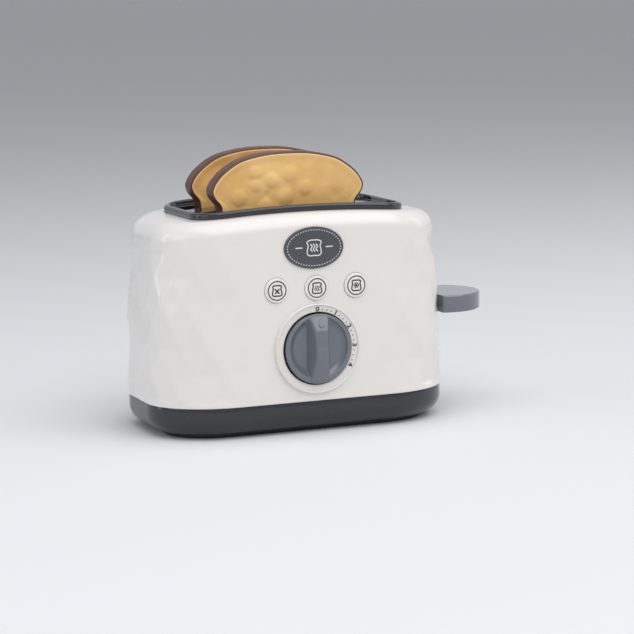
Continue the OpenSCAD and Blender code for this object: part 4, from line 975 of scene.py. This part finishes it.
def crumb_plastic():
    """Golden plastic with a brown line along the crust and then a pale one, a painted highlight on the
    rounded rim, toasted patches and fine pores.
    """
    plastic = Finish("golden_crumb")
    plastic.shader["Roughness"].default_value = CRUMB_GLOSS
    patches = plastic.noise(PATCH_SCALE, 5)
    golden = plastic.tones(patches, [(0.3, paint(*GOLDEN_DARK)), (0.7, paint(*GOLDEN_LIGHT))])
    inset = plastic.make("ShaderNodeAttribute")
    inset.attribute_name = "inset"
    stops = [(at, (*paint(*rgb)[:3], share)) for at, rgb, share in RIM_LINE_AND_PAINTED_HIGHLIGHT]
    # The pale stop is a painted highlight along the face's rounded rim.
    rim = plastic.tones(inset.outputs["Fac"], stops)
    browned_and_highlit = plastic.make("ShaderNodeMix")
    browned_and_highlit.data_type = "RGBA"
    plastic.link(rim["Alpha"], browned_and_highlit.inputs["Factor"])
    plastic.link(golden["Color"], browned_and_highlit.inputs["A"])
    plastic.link(rim["Color"], browned_and_highlit.inputs["B"])
    plastic.link(browned_and_highlit.outputs["Result"], plastic.shader["Base Color"])
    plastic.relief(plastic.noise(PORE_SCALE, 4), 0.3, PORE_DEEP)
    return plastic.material


golden_crumb = crumb_plastic()
dark_crust = moulded("dark_crust", (84, 48, 38), 0.42, drift=0.25, wave=0.6, spots=0.0002)
for place, side in (("front", -1), ("rear", 1)):
    for part, make, finish in (("crumb", crumb, golden_crumb), ("crust", crust, dark_crust)):
        piece = shaded(make(f"{place}_slice_{part}", side * SLICE_AT), finish, 60)
        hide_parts(f"bread_{place}_{part}")
        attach(piece, f"bread_{place}")

# ---- Springs ------------------------------------------------------------------------------
# Steel coil springs: two round the guide rods push the carriage up, and one behind each button
# pushes it out. Each is one wire wound in a helix.
LIFT_SPRING = dict(r=2.5, wire=0.8, turns=9)
BUTTON_SPRING = dict(r=3.1, wire=0.5, turns=3)
MARKS_SCALE = 600


def metal(name, rgb, rough):
    """Bare metal with fine drawing marks and uneven gloss."""
    bare = Finish(name)
    bare.shader["Metallic"].default_value = 1
    marks = bare.noise(MARKS_SCALE, 5)
    tones = bare.tones(marks, [(0, tinted(rgb, 0.82)), (1, tinted(rgb, 1.08))])
    bare.link(tones["Color"], bare.shader["Base Color"])
    bare.gloss(marks, rough * 0.7, rough * 1.4)
    return bare.material


steel = metal("drawn_steel", (196, 197, 200), 0.28)


def coil_spring(name, place, length, r, wire, turns):
    """A wire wound round +Z from 0 to length, then placed."""
    winding = bpy.data.curves.new(name, "CURVE")
    winding.dimensions = "3D"
    winding.bevel_depth, winding.bevel_resolution, winding.use_fill_caps = wire / 2, 2, True
    spline = winding.splines.new("POLY")
    count = turns * 28
    spline.points.add(count)
    for i, point in enumerate(spline.points):
        a = math.tau * turns * i / count
        point.co = (r * math.cos(a), r * math.sin(a), wire / 2 + (length - wire) * i / count, 1)
    return shaded(drawn(name, winding, IN_MM @ place), steel, 60)


for place in ("front", "rear"):
    low, high = (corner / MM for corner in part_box(f"lift_spring_{place}"))
    centre = Matrix.Translation(((low.x + high.x) / 2, (low.y + high.y) / 2, low.z))
    spring = coil_spring(f"lift_coil_{place}", centre, high.z - low.z, **LIFT_SPRING)
    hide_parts(f"lift_spring_{place}")
    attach(spring, "frame")
    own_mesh(spring)
for task in PICTOGRAMS:
    low, high = (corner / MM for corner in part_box(f"spring_{task}"))
    centre = Matrix.Translation(((low.x + high.x) / 2, low.y, (low.z + high.z) / 2))
    spring = coil_spring(f"button_coil_{task}", centre @ Matrix.Rotation(math.radians(-90), 4, "X"),
                         high.y - low.y, **BUTTON_SPRING)
    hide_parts(f"spring_{task}")
    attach(spring, "frame")
    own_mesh(spring)

# ---- Works inside -------------------------------------------------------------------------
# The CAD nodes behind the casing keep their shapes: white mouldings for the carriage and the latch,
# dark ones for the wells, the button frame, the bushes and the timer's case, pressed brass wheels and
# plain steel pins and screws. The wells' dark is painted shade down the slots.
inner_white = moulded("natural_white", (224, 223, 218), 0.45, drift=0.03, wave=0.3)
brass = metal("pressed_brass", (214, 178, 104), 0.3)
FINISHES = [
    (steel, ["base_screws", "timer_cover", "timer_screws", "inner_screws", "mainspring", "guide_rods",
             "latch_pin", "latch_spring", "lever_screw", "timer_spindle"]),
    (inner_white, ["carriage", "latch", "release_cam", "lift_bracket"]),
    # On the slot liner this dark finish is painted shade down the slots.
    (dark_inner_and_painted_shade, ["slot_liner", "button_frame", "timer_case", "rod_bushes"]),
    (brass, ["main_wheel", "governor"]),
]
for finish, names in FINISHES:
    for name in names:
        shaded(nodes[name], finish, 30)
